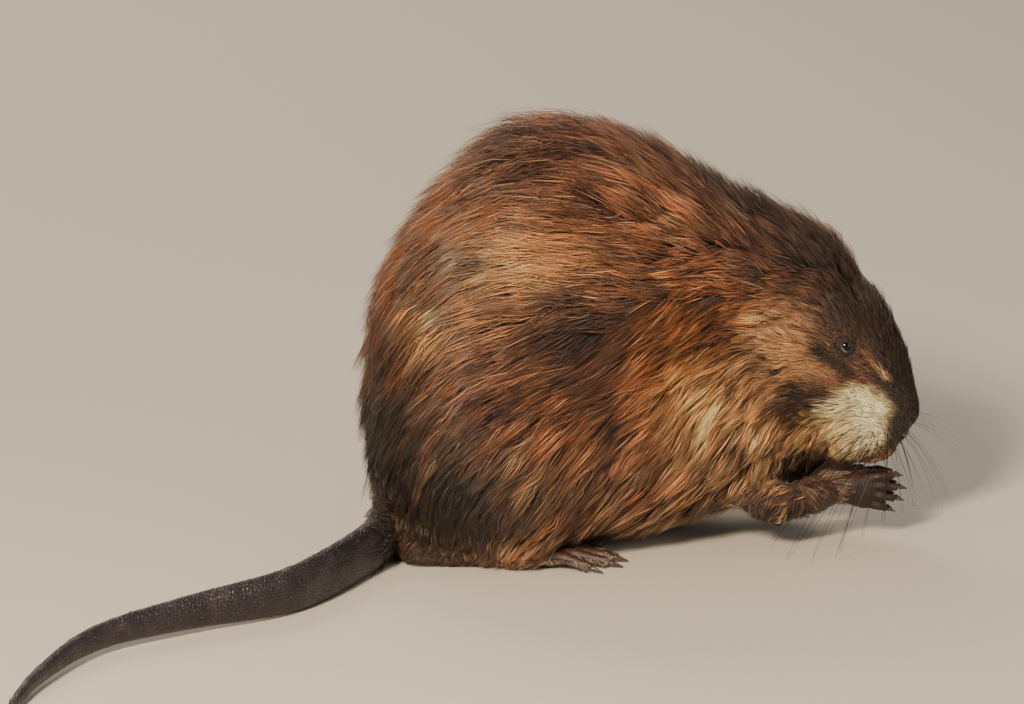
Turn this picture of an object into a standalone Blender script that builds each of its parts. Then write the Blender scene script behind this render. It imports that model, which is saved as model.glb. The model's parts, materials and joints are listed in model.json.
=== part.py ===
"""A life-size muskrat, hunched on the ground with its forepaws held to its mouth.

Row frame: +X forward along the trunk, +Y to the animal's left, +Z up. The origin lies on the
floor, under the middle of the belly. Every solid takes in the coat, out to the tips of the hair.
The masses of flesh are blobs: ellipsoids, and hulls drawn round chains of them. They are fused
and smoothed into one body, which is then parted with thin cuts into the pieces a person names.
"""

import math

import bmesh
import bpy
from mathutils import Matrix, Vector

MM = 0.001
GAP = 0.3 * MM  # clearance between pieces that meet

# Driving dimensions, in metres.
BACK_HEIGHT = 154 * MM
TAIL_HEIGHT = 17.5 * MM  # the tail is flattened from side to side, so it is taller than wide
TAIL_WIDTH = 10 * MM
HIND_FOOT_LENGTH = 72 * MM  # heel to the tip of the longest claw
HIND_CLAW = 5.2 * MM
FORE_CLAW = 3.8 * MM
EYE_RADIUS = 3.3 * MM

# The head hangs nose down and is turned to the animal's right.
HEAD_CENTRE = Vector((65, -10, 70)) * MM
HEAD_PITCH = math.radians(42)
HEAD_YAW = math.radians(-20)

# Elbows and wrists are not level, because the hands meet under a head that is turned aside.
FOREARMS = {
    "right": ((50, -36, 17), (69, -28.5, 19.6)),
    "left": ((51, 17, 16), (71, -8.5, 19.2)),
}
HANDS = {"right": ((76, -26.5, 19.4), -4), "left": ((78, -13.5, 19.2), -18)}
HAND_PITCH = math.radians(7)
HEEL = (-76, 34)
FOOT_SPLAY = 6
SIDES = {"right": -1, "left": 1}

# Voxels and triangle budgets: fine enough for the outline, coarse enough for a light model.
BODY_VOXEL = 1.8 * MM
BODY_TRIANGLES = 2400
PAW_VOXEL = 0.62 * MM
FOREPAW_TRIANGLES = 400
HIND_FOOT_TRIANGLES = 420

COATS = {
    "russet_coat": ((0.20, 0.085, 0.035), 0.62),
    "dark_coat": ((0.09, 0.045, 0.025), 0.62),
    "ear_skin": ((0.16, 0.09, 0.06), 0.7),
    "tail_scale": ((0.035, 0.027, 0.027), 0.55),
    "paw_skin": ((0.055, 0.035, 0.03), 0.5),
    "claw_horn": ((0.16, 0.11, 0.07), 0.35),
    "nose_skin": ((0.03, 0.022, 0.02), 0.4),
    "eye_gloss": ((0.006, 0.005, 0.005), 0.05),
}


def clear_scene():
    for old in list(bpy.data.objects):
        bpy.data.objects.remove(old)


def collection(name):
    made = bpy.data.collections.new(name)
    bpy.context.scene.collection.children.link(made)
    return made


def coat(name):
    """The named finish, made once."""
    if name in bpy.data.materials:
        return bpy.data.materials[name]
    colour, roughness = COATS[name]
    made = bpy.data.materials.new(name)
    made.use_nodes = True
    shader = made.node_tree.nodes["Principled BSDF"]
    shader.inputs["Base Color"].default_value = (*colour, 1)
    shader.inputs["Roughness"].default_value = roughness
    shader.inputs["Metallic"].default_value = 0
    return made


def mm(*numbers):
    return Vector(numbers) * MM


def keep(bm, name):
    """Turns a bmesh into an object among the working shapes."""
    bmesh.ops.recalc_face_normals(bm, faces=bm.faces)
    mesh = bpy.data.meshes.new(name)
    bm.to_mesh(mesh)
    bm.free()
    obj = bpy.data.objects.new(name, mesh)
    workshop.objects.link(obj)
    return obj


def baked(obj):
    """Applies every modifier of obj to its mesh."""
    graph = bpy.context.evaluated_depsgraph_get()
    graph.update()
    mesh = bpy.data.meshes.new_from_object(obj.evaluated_get(graph))
    obj.modifiers.clear()
    obj.data = mesh
    return obj


def duplicate(obj, name):
    twin = obj.copy()
    twin.data = obj.data.copy()
    twin.name = name
    workshop.objects.link(twin)
    return twin


# Blobs. A blob is (centre, radii) in millimetres, or (centre, radii, degrees turned about Y).


def add_blob(bm, blob, place=Matrix.Identity(4), detail=3):
    centre, radii, *turn = blob
    swing = Matrix.Rotation(math.radians(turn[0] if turn else 0), 4, "Y")
    size = Matrix.Diagonal((*(mm(*radii)), 1))
    matrix = place @ Matrix.Translation(mm(*centre)) @ swing @ size
    bmesh.ops.create_icosphere(bm, subdivisions=detail, radius=1, matrix=matrix)


def blob_object(name, blob, place=Matrix.Identity(4), detail=3):
    bm = bmesh.new()
    add_blob(bm, blob, place, detail)
    return keep(bm, name)


def hull_object(name, blobs, place=Matrix.Identity(4)):
    """The tight skin drawn round several blobs."""
    bm = bmesh.new()
    for blob in blobs:
        add_blob(bm, blob, place)
    hull = bmesh.ops.convex_hull(bm, input=bm.verts)
    loose = {g for g in hull["geom_interior"] + hull["geom_unused"] if g.is_valid}
    verts = [g for g in loose if isinstance(g, bmesh.types.BMVert)]
    bmesh.ops.delete(bm, geom=verts, context="VERTS")
    return keep(bm, name)


def chain(name, blobs, place=Matrix.Identity(4)):
    """Hulls round each blob and the next, as a limb or a back is built."""
    pairs = zip(blobs[:-1], blobs[1:])
    return [hull_object(f"{name}_{i}", pair, place) for i, pair in enumerate(pairs)]


def fused(name, shapes, voxel, rounds, triangles):
    """Joins shapes into one smooth closed body of about that many triangles."""
    bm = bmesh.new()
    for shape in shapes:
        bm.from_mesh(shape.data)
        bpy.data.objects.remove(shape)
    body = keep(bm, name)
    remesh = body.modifiers.new("fuse", "REMESH")
    remesh.mode = "VOXEL"
    remesh.voxel_size = voxel
    smooth = body.modifiers.new("soften", "SMOOTH")
    smooth.factor = 0.5
    smooth.iterations = rounds
    baked(body)
    return thinned(body, triangles)


def thinned(body, triangles):
    thin = body.modifiers.new("thin", "DECIMATE")
    thin.ratio = min(1, triangles / (2 * len(body.data.polygons)))
    thin.use_collapse_triangulate = True
    return baked(body)


# Lofts, for what runs along a path: tail, digits and claws.


def smooth_path(points, count):
    """A Catmull-Rom curve through the points, read at count places evenly along it."""
    ends = [2 * points[0] - points[1], *points, 2 * points[-1] - points[-2]]
    fine = []
    for p0, p1, p2, p3 in zip(ends, ends[1:], ends[2:], ends[3:]):
        for step in range(16):
            t = step / 16
            bend = 2 * p0 - 5 * p1 + 4 * p2 - p3
            twist = 3 * p1 - p0 - 3 * p2 + p3
            fine.append(0.5 * (2 * p1 + (p2 - p0) * t + bend * t**2 + twist * t**3))
    fine.append(points[-1])
    reach = [0]
    for a, b in zip(fine, fine[1:]):
        reach.append(reach[-1] + (b - a).length)
    found = []
    for i in range(count):
        wanted = reach[-1] * i / (count - 1)
        k = max(j for j, r in enumerate(reach[:-1]) if r <= wanted)
        share = (wanted - reach[k]) / (reach[k + 1] - reach[k])
        found.append(fine[k].lerp(fine[k + 1], share))
    return found


def frame_along(path, index):
    """Rotation with Z along the path and X as level as it can be."""
    ahead = path[min(index + 1, len(path) - 1)] - path[max(index - 1, 0)]
    along = ahead.normalized()
    side = along.cross(Vector((0, 0, 1))).normalized()
    rise = side.cross(along)
    return Matrix((side, rise, along)).transposed().to_4x4()


def loft(name, path, half_width, half_height, sides):
    """A closed body along the path. The two sizes are functions of the share of its length."""
    bm = bmesh.new()
    rings = []
    for i, point in enumerate(path):
        share = i / (len(path) - 1)
        size = Matrix.Diagonal((half_width(share), half_height(share), 1, 1))
        matrix = Matrix.Translation(point) @ frame_along(path, i) @ size
        cap = i in (0, len(path) - 1)
        ring = bmesh.ops.create_circle(
            bm, cap_ends=cap, radius=1, segments=sides, matrix=matrix
        )
        rings.append(ring["verts"])
    for low, high in zip(rings[:-1], rings[1:]):
        for i in range(sides):
            j = (i + 1) % sides
            bm.faces.new((low[i], low[j], high[j], high[i]))
    return keep(bm, name)


# Cutting and parting.


def boolean(body, other, operation="DIFFERENCE"):
    cut = body.modifiers.new("cut", "BOOLEAN")
    cut.operation = operation
    cut.object = other
    return baked(body)


def swollen(obj, by=GAP):
    """A copy of obj grown outwards, to cut room for it in its neighbour."""
    grown = duplicate(obj, obj.name + "_room")
    swell = grown.modifiers.new("swell", "DISPLACE")
    swell.mid_level = 0
    swell.strength = by
    return baked(grown)


def make_room(body, *others):
    for other in others:
        room = swollen(other)
        boolean(body, room)
        bpy.data.objects.remove(room)
    return body


def islands(bm):
    """The separate bodies of a bmesh, each as a list of its faces."""
    waiting, found = set(bm.faces), []
    while waiting:
        front = [waiting.pop()]
        island = list(front)
        while front:
            face = front.pop()
            near = {f for edge in face.edges for f in edge.link_faces} & waiting
            waiting -= near
            front += near
            island += near
        found.append(island)
    return found


def centre_of(faces):
    area = sum(f.calc_area() for f in faces)
    return sum((f.calc_center_median() * f.calc_area() for f in faces), Vector()) / area


def without(obj, unwanted):
    """Deletes the islands for which unwanted(faces) is true."""
    bm = bmesh.new()
    bm.from_mesh(obj.data)
    faces = [f for island in islands(bm) if unwanted(island) for f in island]
    bmesh.ops.delete(bm, geom=faces, context="FACES")
    bm.to_mesh(obj.data)
    bm.free()
    return obj


def keep_largest(obj):
    bm = bmesh.new()
    bm.from_mesh(obj.data)
    most = max(len(island) for island in islands(bm))
    bm.free()
    return without(obj, lambda island: len(island) < most)


def part_off(body, cutter, name, anchor):
    """Cuts body with a thin-walled cutter. The island nearest the anchor becomes a new piece."""
    boolean(body, cutter)
    bpy.data.objects.remove(cutter)
    bm = bmesh.new()
    bm.from_mesh(body.data)
    found = [i for i in islands(bm) if len(i) > 20]
    nearest = min((centre_of(i) - anchor).length for i in found)
    bm.free()
    piece = duplicate(body, name)
    margin = 1e-6

    def is_piece(island):
        return (centre_of(island) - anchor).length < nearest + margin

    without(piece, lambda island: not is_piece(island))
    without(body, is_piece)
    keep_largest(body)
    return piece


def thin_shell(name, blob, place=Matrix.Identity(4), detail=2):
    """The hollow skin of a blob, one gap thick, as a curved cut."""
    shell = blob_object(name, blob, place, detail)
    wall = shell.modifiers.new("wall", "SOLIDIFY")
    wall.thickness = GAP
    wall.offset = 0
    return baked(shell)


def thin_disc(name, centre, normal, radius):
    bm = bmesh.new()
    turn = Vector((0, 0, 1)).rotation_difference(normal).to_matrix().to_4x4()
    bmesh.ops.create_cone(
        bm,
        cap_ends=True,
        segments=32,
        radius1=radius,
        radius2=radius,
        depth=GAP,
        matrix=Matrix.Translation(centre) @ turn,
    )
    return keep(bm, name)


def box(name, low, high, place=Matrix.Identity(4)):
    bm = bmesh.new()
    middle, size = (low + high) / 2, high - low
    matrix = place @ Matrix.Translation(middle) @ Matrix.Diagonal((*size, 1))
    bmesh.ops.create_cube(bm, size=1, matrix=matrix)
    return keep(bm, name)


def above_floor(obj):
    """Cuts away what would reach into the floor, which leaves a small flat."""
    reach = 0.5
    floor = box("floor", Vector((-reach, -reach, -reach)), Vector((reach, reach, 0)))
    boolean(obj, floor)
    bpy.data.objects.remove(floor)
    return obj


def finish(obj, name, material, parts):
    """Names a working shape as a piece of the model."""
    obj.name = name
    obj.data.name = name
    obj.data.materials.clear()
    obj.data.materials.append(coat(material))
    for face in obj.data.polygons:
        face.material_index = 0
    obj.data.shade_smooth()
    workshop.objects.unlink(obj)
    parts.objects.link(obj)
    return obj


# The body of the muskrat.

HEAD_PLACE = (
    Matrix.Translation(HEAD_CENTRE)
    @ Matrix.Rotation(HEAD_YAW, 4, "Z")
    @ Matrix.Rotation(HEAD_PITCH, 4, "Y")
)

# Head masses, in the head's own frame: X towards the nose, Y to its left, Z to its crown.
CRANIUM = ((-7, 0, 3), (31, 26, 31))
BROW = ((13, 0, 6), (20.5, 20, 24.5))
MUZZLE_ROOT = ((28, 0, 3), (14.5, 14.5, 19.5))
MUZZLE_TIP = ((41.2, 0, 2.6), (8.6, 9.2, 11))
CHIN = ((32, 0, -17), (11.5, 9.5, 10))
THROAT = ((12, 0, -16), (18, 18, 15))
EYE_SPOT = mm(10.6, 16.0, 14.0)
EAR_SPOT = mm(-9, 27.8, -4)


def head_shapes():
    shapes = chain("cranium", [CRANIUM, BROW, MUZZLE_ROOT, MUZZLE_TIP], HEAD_PLACE)
    shapes += chain("jaw", [THROAT, CHIN], HEAD_PLACE)
    for side in (-1, 1):
        cheek = ((14, 11 * side, -6), (17, 13.5, 16))
        lip = ((40.5, 5.6 * side, -7), (10.8, 7.6, 9.8))
        jowl = ((28, 7 * side, -12), (13, 9.5, 13.5))
        shapes += chain(f"cheek_{side}", [cheek, jowl, lip], HEAD_PLACE)
    return shapes


def trunk_shapes():
    rump = ((-42, 0, 68), (52.5, 58, 63))
    mid_back = ((-20, 0, 83), (60, 60, BACK_HEIGHT / MM - 83))
    shoulders = ((8, -1, 82), (40, 50, 61.5))
    nape = ((49, -3, 75), (33, 31, 40.5))
    skull = ((60, -9, 84), (27, 25, 34.5))
    withers = ((15, -2, 94), (28, 38, 40))
    shapes = chain("back", [rump, mid_back, shoulders, nape, skull])
    shapes += chain("crest", [withers, skull])
    low_rump = ((-50, 0, 31), (44, 55, 33))
    belly = ((-8, 0, 36.5), (50, 57, 39))
    chest = ((28, -2, 45), (34, 45, 39))
    throat = ((54, -8, 50), (26, 27, 26))
    shapes += chain("underside", [low_rump, belly, chest, throat])
    shapes += chain("flank", [rump, low_rump]) + chain("side", [mid_back, belly])
    shapes += chain("fore", [shoulders, chest])
    for side in (-1, 1):
        haunch = ((-40, 34 * side, 42), (43, 31, 43))
        skirt = ((-61, 25 * side, 14), (27, 24, 17))
        upper_arm = ((26, 25 * side, 44), (26, 20, 30), 20)
        shapes += chain(f"haunch_{side}", [haunch, skirt])
        shapes.append(blob_object(f"upper_arm_{side}", upper_arm))
    return shapes


def foreleg(side_name, elbow, wrist):
    """Elbow and forearm, up to the wrist. The paw is a piece of its own."""
    shoulder = (elbow[0] - 16, elbow[1] * 0.85, elbow[2] + 12)
    joints = [(shoulder, (12, 11, 12)), (elbow, (10, 9, 9.5)), (wrist, (6.6, 6, 6.8))]
    shapes = chain(f"arm_{side_name}", joints)
    return fused(f"foreleg_{side_name}", shapes, 1.4 * MM, 4, 180)


def digit(name, knuckle, tip, arch, root_radius, tip_radius, place):
    """One finger or toe, arched upwards in its own plane."""
    middle = (knuckle + tip) / 2 + arch
    path = [place @ p for p in smooth_path([knuckle, middle, tip], 7)]

    def radius(share):
        joint = 0.12 * math.cos(4 * math.pi * share)
        return (root_radius + (tip_radius - root_radius) * share) * (1 + joint)

    return loft(name, path, radius, radius, 10)


def claw(name, tip, direction, length, radius, place, droop):
    """A curved claw that starts one gap beyond the end of its digit."""
    start = tip + direction * (radius * 0.2)
    middle = start + direction * length * 0.55 + droop * 0.35
    end = start + direction * length + droop
    path = [place @ p for p in smooth_path([start, middle, end], 4)]

    def half_width(share):
        return radius * (1 - 0.8 * share)

    def half_height(share):
        return radius * (1.15 - 0.95 * share)

    return loft(name, path, half_width, half_height, 6)


def paw(name, palm_blobs, digits, place, triangles):
    """Palm and digits fused. digits lists (knuckle, tip, arch, root radius, tip radius)."""
    shapes = chain(f"{name}_palm", palm_blobs, place)
    for number, (knuckle, tip, arch, root, end) in enumerate(digits):
        shapes.append(digit(f"{name}_{number}", knuckle, tip, arch, root, end, place))
    return fused(name, shapes, PAW_VOXEL, 3, triangles)


def forepaw(side_name, side, place):
    """A hand held on edge: fingers fan forwards, first finger uppermost, palm to the middle."""
    palm = [
        ((-4, 0, 0), (5.0, 3.6, 4.8)),
        ((4, 0.4 * side, 0.4), (5.2, 3.0, 5.8)),
        ((8.5, 0.4 * side, 0.2), (3.4, 2.3, 6.4)),
    ]
    fan = [(6.0, 5.2), (2.4, 1.9), (-1.6, -1.4), (-5.2, -4.6)]
    reach = [18, 20, 19.5, 17]
    digits, claws = [], []
    for rise, length in zip(fan, reach):
        knuckle = mm(8, 0, rise[0] * 0.82)
        tip = mm(length, -1.6 * side, rise[1] * 1.25)
        digits.append((knuckle, tip, mm(0, 1.1 * side, 0.5), 1.75 * MM, 1.35 * MM))
    thumb = (mm(2.5, -0.5 * side, 4.4), mm(7.5, -2.4 * side, 7.2), mm(0, 0, 0.3))
    digits.append((*thumb, 1.5 * MM, 1.1 * MM))
    body = paw(f"forepaw_{side_name}", palm, digits, place, FOREPAW_TRIANGLES)
    for number, (knuckle, tip, _, _, end) in enumerate(digits[:4]):
        along = (tip - knuckle).normalized()
        start = tip + along * end * 0.25
        made = claw(
            f"fore_claw_{side_name}_{number + 1}",
            start,
            along,
            FORE_CLAW,
            0.8 * MM,
            place,
            mm(-0.3, -1.5 * side, -0.7),
        )
        claws.append(made)
    return body, claws


def hind_foot(side_name, side, place):
    """A long hind foot, flat on the floor, with five partly webbed toes."""
    sole = [
        ((0, 0, 6.5), (8.0, 6.5, 6.8)),
        ((20, 0.5 * side, 4.6), (9.5, 6.8, 5.0)),
        ((39, 1.2 * side, 4.0), (8.5, 9.6, 4.3)),
        ((45, 1.4 * side, 3.6), (6, 10.2, 3.7)),
    ]
    spread = [-9.0, -4.6, 0.2, 5.0, 9.2]
    longest = (HIND_FOOT_LENGTH - HIND_CLAW) / MM
    reach = [longest - short for short in (10, 2.5, 0, 2, 9)]
    digits, claws = [], []
    for across, length in zip(spread, reach):
        knuckle = mm(42, across * 0.85 * side, 4.0)
        tip = mm(length, (across * 1.45 + 1.5) * side, 2.2)
        digits.append((knuckle, tip, mm(0, 0, 1.5), 2.5 * MM, 1.9 * MM))
    body = paw(f"hindfoot_{side_name}", sole, digits, place, HIND_FOOT_TRIANGLES)
    for number, (knuckle, tip, _, _, end) in enumerate(digits):
        along = (tip - knuckle).normalized()
        start = tip + along * end * 0.25
        made = claw(
            f"hind_claw_{side_name}_{number + 1}",
            start,
            along,
            HIND_CLAW,
            1.1 * MM,
            place,
            mm(0, 0, -0.9),
        )
        claws.append(made)
    return above_floor(body), claws


# The tail swings round the rump to the animal's right and lies on its lower edge.
TAIL_ROUTE = [
    mm(-66, 2, 15),
    mm(-84, -14, 11.5),
    mm(-97, -44, 8.8),
    mm(-128, -90, 8.6),
    mm(-166, -112, 8.0),
    mm(-200, -134, 6.6),
    mm(-222, -169, 4.6),
    mm(-233, -196, 2.6),
]
TAIL_RINGS = 28


def tail_half_height(share):
    swell = 0.92 + 0.12 * math.sin(math.pi * min(1, share * 1.6))
    taper = 1 - 0.78 * max(0, share - 0.35) / 0.65
    return TAIL_HEIGHT / 2 * swell * taper


def tail_half_width(share):
    root = 0.35 * max(0, 1 - share / 0.3)
    taper = 1 - 0.72 * max(0, share - 0.2) / 0.8
    return TAIL_WIDTH / 2 * (taper + root)


def tail_pieces():
    """The tail's three lengths, with a gap between each and the next."""
    path = smooth_path(TAIL_ROUTE, TAIL_RINGS)
    whole = loft("tail", path, tail_half_width, tail_half_height, 14)
    above_floor(whole)
    pieces = []
    for name, ring in (("tail_base", 10), ("tail_middle", 19)):
        along = (path[ring + 1] - path[ring - 1]).normalized()
        cutter = thin_disc("tail_cut", path[ring], along, 20 * MM)
        pieces.append(part_off(whole, cutter, name, path[ring - 5]))
    whole.name = "tail_tip"
    return [*pieces, whole]


def ear(side_name, side):
    """A small rounded flap laid back along the head, its free edge just proud of the coat."""
    spot = Vector((EAR_SPOT.x, EAR_SPOT.y * side, EAR_SPOT.z))
    lean = Matrix.Rotation(math.radians(-24 * side), 4, "Z")
    tilt = Matrix.Rotation(math.radians(-20), 4, "Y")
    place = HEAD_PLACE @ Matrix.Translation(spot) @ lean @ tilt
    flap = blob_object("flap", ((0, 0, 0), (8.2, 3.0, 8.4)), place)
    cup = blob_object("cup", ((2.6, 3.5 * side, -0.8), (7.2, 3.5, 6.8)), place)
    boolean(flap, cup)
    bpy.data.objects.remove(cup)
    flap.name = f"ear_{side_name}"
    return thinned(flap, 150)


def eye(side_name, side):
    spot = Vector((EYE_SPOT.x, EYE_SPOT.y * side, EYE_SPOT.z)) / MM
    ball = (tuple(spot), (EYE_RADIUS / MM,) * 3)
    return blob_object(f"eye_{side_name}", ball, HEAD_PLACE, detail=2)


def nose_pad():
    """The bare pad, set into the blunt end of the muzzle."""
    pad = [
        ((47.0, 0, 0.4), (2.6, 4.4, 3.1)),
        ((47.6, 0, -2.4), (2.0, 2.6, 2.8)),
    ]
    return fused("nose", chain("pad", pad, HEAD_PLACE), 0.6 * MM, 2, 150)


def build():
    parts = collection("muskrat")
    body = fused("body", trunk_shapes() + head_shapes(), BODY_VOXEL, 5, BODY_TRIANGLES)
    above_floor(body)

    forelegs, hands, feet = [], [], []
    for side_name, side in SIDES.items():
        forelegs.append(foreleg(side_name, *FOREARMS[side_name]))
        spot, yaw = HANDS[side_name]
        turn = Matrix.Rotation(math.radians(yaw), 4, "Z")
        pitch = Matrix.Rotation(HAND_PITCH, 4, "Y")
        hand_place = Matrix.Translation(mm(*spot)) @ turn @ pitch
        hands.append(forepaw(side_name, side, hand_place))
        heel = Matrix.Translation(mm(HEEL[0], HEEL[1] * side, 0))
        splay = Matrix.Rotation(math.radians(FOOT_SPLAY * side), 4, "Z")
        feet.append(hind_foot(side_name, side, heel @ splay))
    for leg, (hand, _) in zip(forelegs, hands):
        above_floor(leg)
        make_room(leg, hand)
        keep_largest(leg)
    tail = tail_pieces()
    ears = [ear(side_name, side) for side_name, side in SIDES.items()]
    eyes = [eye(side_name, side) for side_name, side in SIDES.items()]
    nose = nose_pad()

    for side in SIDES.values():
        orbit = ((11, 20.6 * side, 14.0), (6.4, 4.2, 5.4))
        boolean(body, blob_object("orbit", orbit, HEAD_PLACE, detail=2))
        bpy.data.objects.remove(bpy.data.objects["orbit"])
    paws = [piece for piece, _ in [*hands, *feet]]
    for other in [*forelegs, *paws, tail[0], *ears, *eyes, nose]:
        make_room(body, other)
    keep_largest(body)

    thighs = []
    for side_name, side in SIDES.items():
        lens = ((-42, 62 * side, 36), (43, 25, 37))
        cutter = thin_shell("thigh_cut", lens)
        thighs.append(part_off(body, cutter, f"hindleg_{side_name}", mm(-42, 56 * side, 36)))
    cutter = thin_shell("head_cut", ((13, 0, -1), (43, 36, 44)), HEAD_PLACE)
    head = part_off(body, cutter, "head", HEAD_PLACE @ mm(20, 0, 0))
    cutter = thin_disc("neck_cut", mm(40, 0, 80), Vector((0.9, -0.12, 0.42)).normalized(), 90 * MM)
    neck = part_off(body, cutter, "neck", mm(52, -5, 85))
    body.name = "trunk"

    for piece in [body, neck, *thighs, head]:
        finish(piece, piece.name, "russet_coat", parts)
    for piece in ears:
        finish(piece, piece.name, "ear_skin", parts)
    for piece in forelegs:
        finish(piece, piece.name, "dark_coat", parts)
    for piece, _ in [*hands, *feet]:
        finish(piece, piece.name, "paw_skin", parts)
    for piece in [c for _, claws in [*hands, *feet] for c in claws]:
        finish(piece, piece.name, "claw_horn", parts)
    for piece in tail:
        finish(piece, piece.name, "tail_scale", parts)
    for piece in eyes:
        finish(piece, piece.name, "eye_gloss", parts)
    finish(nose, "nose", "nose_skin", parts)


clear_scene()
workshop = collection("working_shapes")
build()
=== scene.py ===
# %% [markdown]
# # A muskrat crouched over its food
# A muskrat is a marsh rodent about as long as a forearm, with a round body, small eyes, ears
# nearly lost in the fur, and a long scaly tail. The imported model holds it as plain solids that
# reach out to the tips of the coat. This lesson puts a skin inside those solids, as deep as the
# fur is thick, and then grows the fur back out to the solids' surface.

import json
import math

import bmesh
import bpy
import numpy as np
from mathutils import Matrix, Vector
from mathutils.bvhtree import BVHTree
from mathutils.kdtree import KDTree

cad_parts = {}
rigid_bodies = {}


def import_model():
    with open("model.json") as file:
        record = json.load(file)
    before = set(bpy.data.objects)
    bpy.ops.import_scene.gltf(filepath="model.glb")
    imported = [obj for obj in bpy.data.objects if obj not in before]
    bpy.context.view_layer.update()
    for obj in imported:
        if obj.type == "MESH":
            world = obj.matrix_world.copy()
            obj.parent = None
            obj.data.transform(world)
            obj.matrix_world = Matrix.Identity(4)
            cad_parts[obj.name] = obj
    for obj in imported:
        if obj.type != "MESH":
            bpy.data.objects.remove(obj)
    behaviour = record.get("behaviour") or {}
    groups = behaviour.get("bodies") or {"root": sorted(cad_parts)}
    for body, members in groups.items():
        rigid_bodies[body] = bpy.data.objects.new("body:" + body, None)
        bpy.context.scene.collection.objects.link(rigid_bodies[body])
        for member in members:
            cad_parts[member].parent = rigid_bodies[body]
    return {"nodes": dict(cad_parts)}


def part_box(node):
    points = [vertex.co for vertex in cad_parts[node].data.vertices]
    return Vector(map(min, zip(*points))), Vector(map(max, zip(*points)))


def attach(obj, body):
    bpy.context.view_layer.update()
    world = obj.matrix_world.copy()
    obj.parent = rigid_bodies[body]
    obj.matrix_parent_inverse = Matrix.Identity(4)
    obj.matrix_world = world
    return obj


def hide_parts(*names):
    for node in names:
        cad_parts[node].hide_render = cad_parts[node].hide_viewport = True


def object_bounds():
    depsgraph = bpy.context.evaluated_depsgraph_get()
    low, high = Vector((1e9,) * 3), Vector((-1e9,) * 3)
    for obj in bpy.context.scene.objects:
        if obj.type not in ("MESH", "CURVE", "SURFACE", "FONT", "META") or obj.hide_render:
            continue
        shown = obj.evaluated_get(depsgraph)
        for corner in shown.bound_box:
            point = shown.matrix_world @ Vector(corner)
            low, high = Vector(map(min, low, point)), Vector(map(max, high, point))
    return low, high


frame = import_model()
nodes = frame["nodes"]
cad_low, cad_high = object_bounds()
MM = 0.001
print("nodes", len(nodes), "size in mm", [round(x / MM, 1) for x in cad_high - cad_low])

# %% [markdown]
# The work is done with arrays of points in millimetres, because a coat is a hundred thousand
# small things that are all made the same way. Random choices come from one seeded generator, so
# every run grows the same animal.

# %% Small tools for arrays of points
chance = np.random.default_rng(20)


def unit(vectors):
    """The same directions, one long."""
    length = np.linalg.norm(vectors, axis=-1, keepdims=True)
    return vectors / np.maximum(length, 1e-9)


def eased(low, high, values):
    """0 below low, 1 above high, and a smooth rise between."""
    share = np.clip((values - low) / (high - low), 0, 1)
    return share * share * (3 - 2 * share)


def centre_of(name):
    low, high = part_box(name)
    return np.array((low + high) / 2) / MM


def ripple(points, size, seed):
    """A soft random swell over space, about -1 to 1, with humps about that many mm wide."""
    waves = np.random.default_rng(seed)
    total = np.zeros(len(points))
    for _ in range(7):
        direction = unit(waves.normal(size=3)) * waves.uniform(0.6, 1.6)
        total += np.sin(points @ direction * (math.pi / size) + waves.uniform(0, 6.3))
    return total / 3.5


def placed(name, data):
    """A new object that holds the data, in the scene."""
    obj = bpy.data.objects.new(name, data)
    bpy.context.scene.collection.objects.link(obj)
    return obj


def mesh_from(bm, name):
    """What was built as a mesh of that name, and the workspace is freed."""
    mesh = bpy.data.meshes.new(name)
    bm.to_mesh(mesh)
    bm.free()
    return mesh


# %% [markdown]
# The head is bowed and turned, so the face has its own frame: X out along the muzzle, Y to the
# animal's left and Z up through the brow. It comes from three solids that can't be mistaken, the
# two eyes and the nose pad. The muzzle's own line slopes down from the eyes to the nose by
# NOSE_DROP, and the frame's origin is the middle of the skull.

# %% The frame of the head
NOSE_DROP = math.radians(21.57)
EYE_PLACE = (10.6, 16.0, 14.0)
left_eye, right_eye = centre_of("eye_left"), centre_of("eye_right")
nose_centre = centre_of("nose")
eye_middle = (left_eye + right_eye) / 2
head_left = unit(left_eye - right_eye)
to_nose = nose_centre - eye_middle
to_nose = unit(to_nose - (to_nose @ head_left) * head_left)
over_nose = np.cross(to_nose, head_left)
head_fore = math.cos(NOSE_DROP) * to_nose + math.sin(NOSE_DROP) * over_nose
head_up = math.cos(NOSE_DROP) * over_nose - math.sin(NOSE_DROP) * to_nose
head_axes = np.stack([head_fore, head_left, head_up])
head_origin = eye_middle - EYE_PLACE[0] * head_fore - EYE_PLACE[2] * head_up


def in_head(points):
    return (points - head_origin) @ head_axes.T


def from_head(points):
    return np.asarray(points, float) @ head_axes + head_origin


print("head frame at", head_origin.round(1), "muzzle points", head_fore.round(2))

# %% [markdown]
# The camera comes before the looks. It stands to the animal's right and a little behind
# square, low, as someone sitting in the grass would see it, and far off with a long lens, so the
# animal isn't stretched by being close.

# %% Camera
VIEW_AZIMUTH = math.radians(-8)
VIEW_ELEVATION = math.radians(14)
VIEW_WIDTH = 368.6 * MM
VIEW_MIDDLE = Vector((-36.4, 20.8, 62.2)) * MM
camera_data = bpy.data.cameras.new("camera")
camera_data.lens = 250
camera = placed("camera", camera_data)
toward_camera = Vector(
    (
        math.sin(VIEW_AZIMUTH) * math.cos(VIEW_ELEVATION),
        -math.cos(VIEW_AZIMUTH) * math.cos(VIEW_ELEVATION),
        math.sin(VIEW_ELEVATION),
    )
)
view_distance = VIEW_WIDTH * camera_data.lens / camera_data.sensor_width
camera.location = VIEW_MIDDLE + toward_camera * view_distance
camera.rotation_euler = (-toward_camera).to_track_quat("-Z", "Y").to_euler()
bpy.context.scene.camera = camera
print("camera", round(view_distance, 2), "m away")

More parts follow.
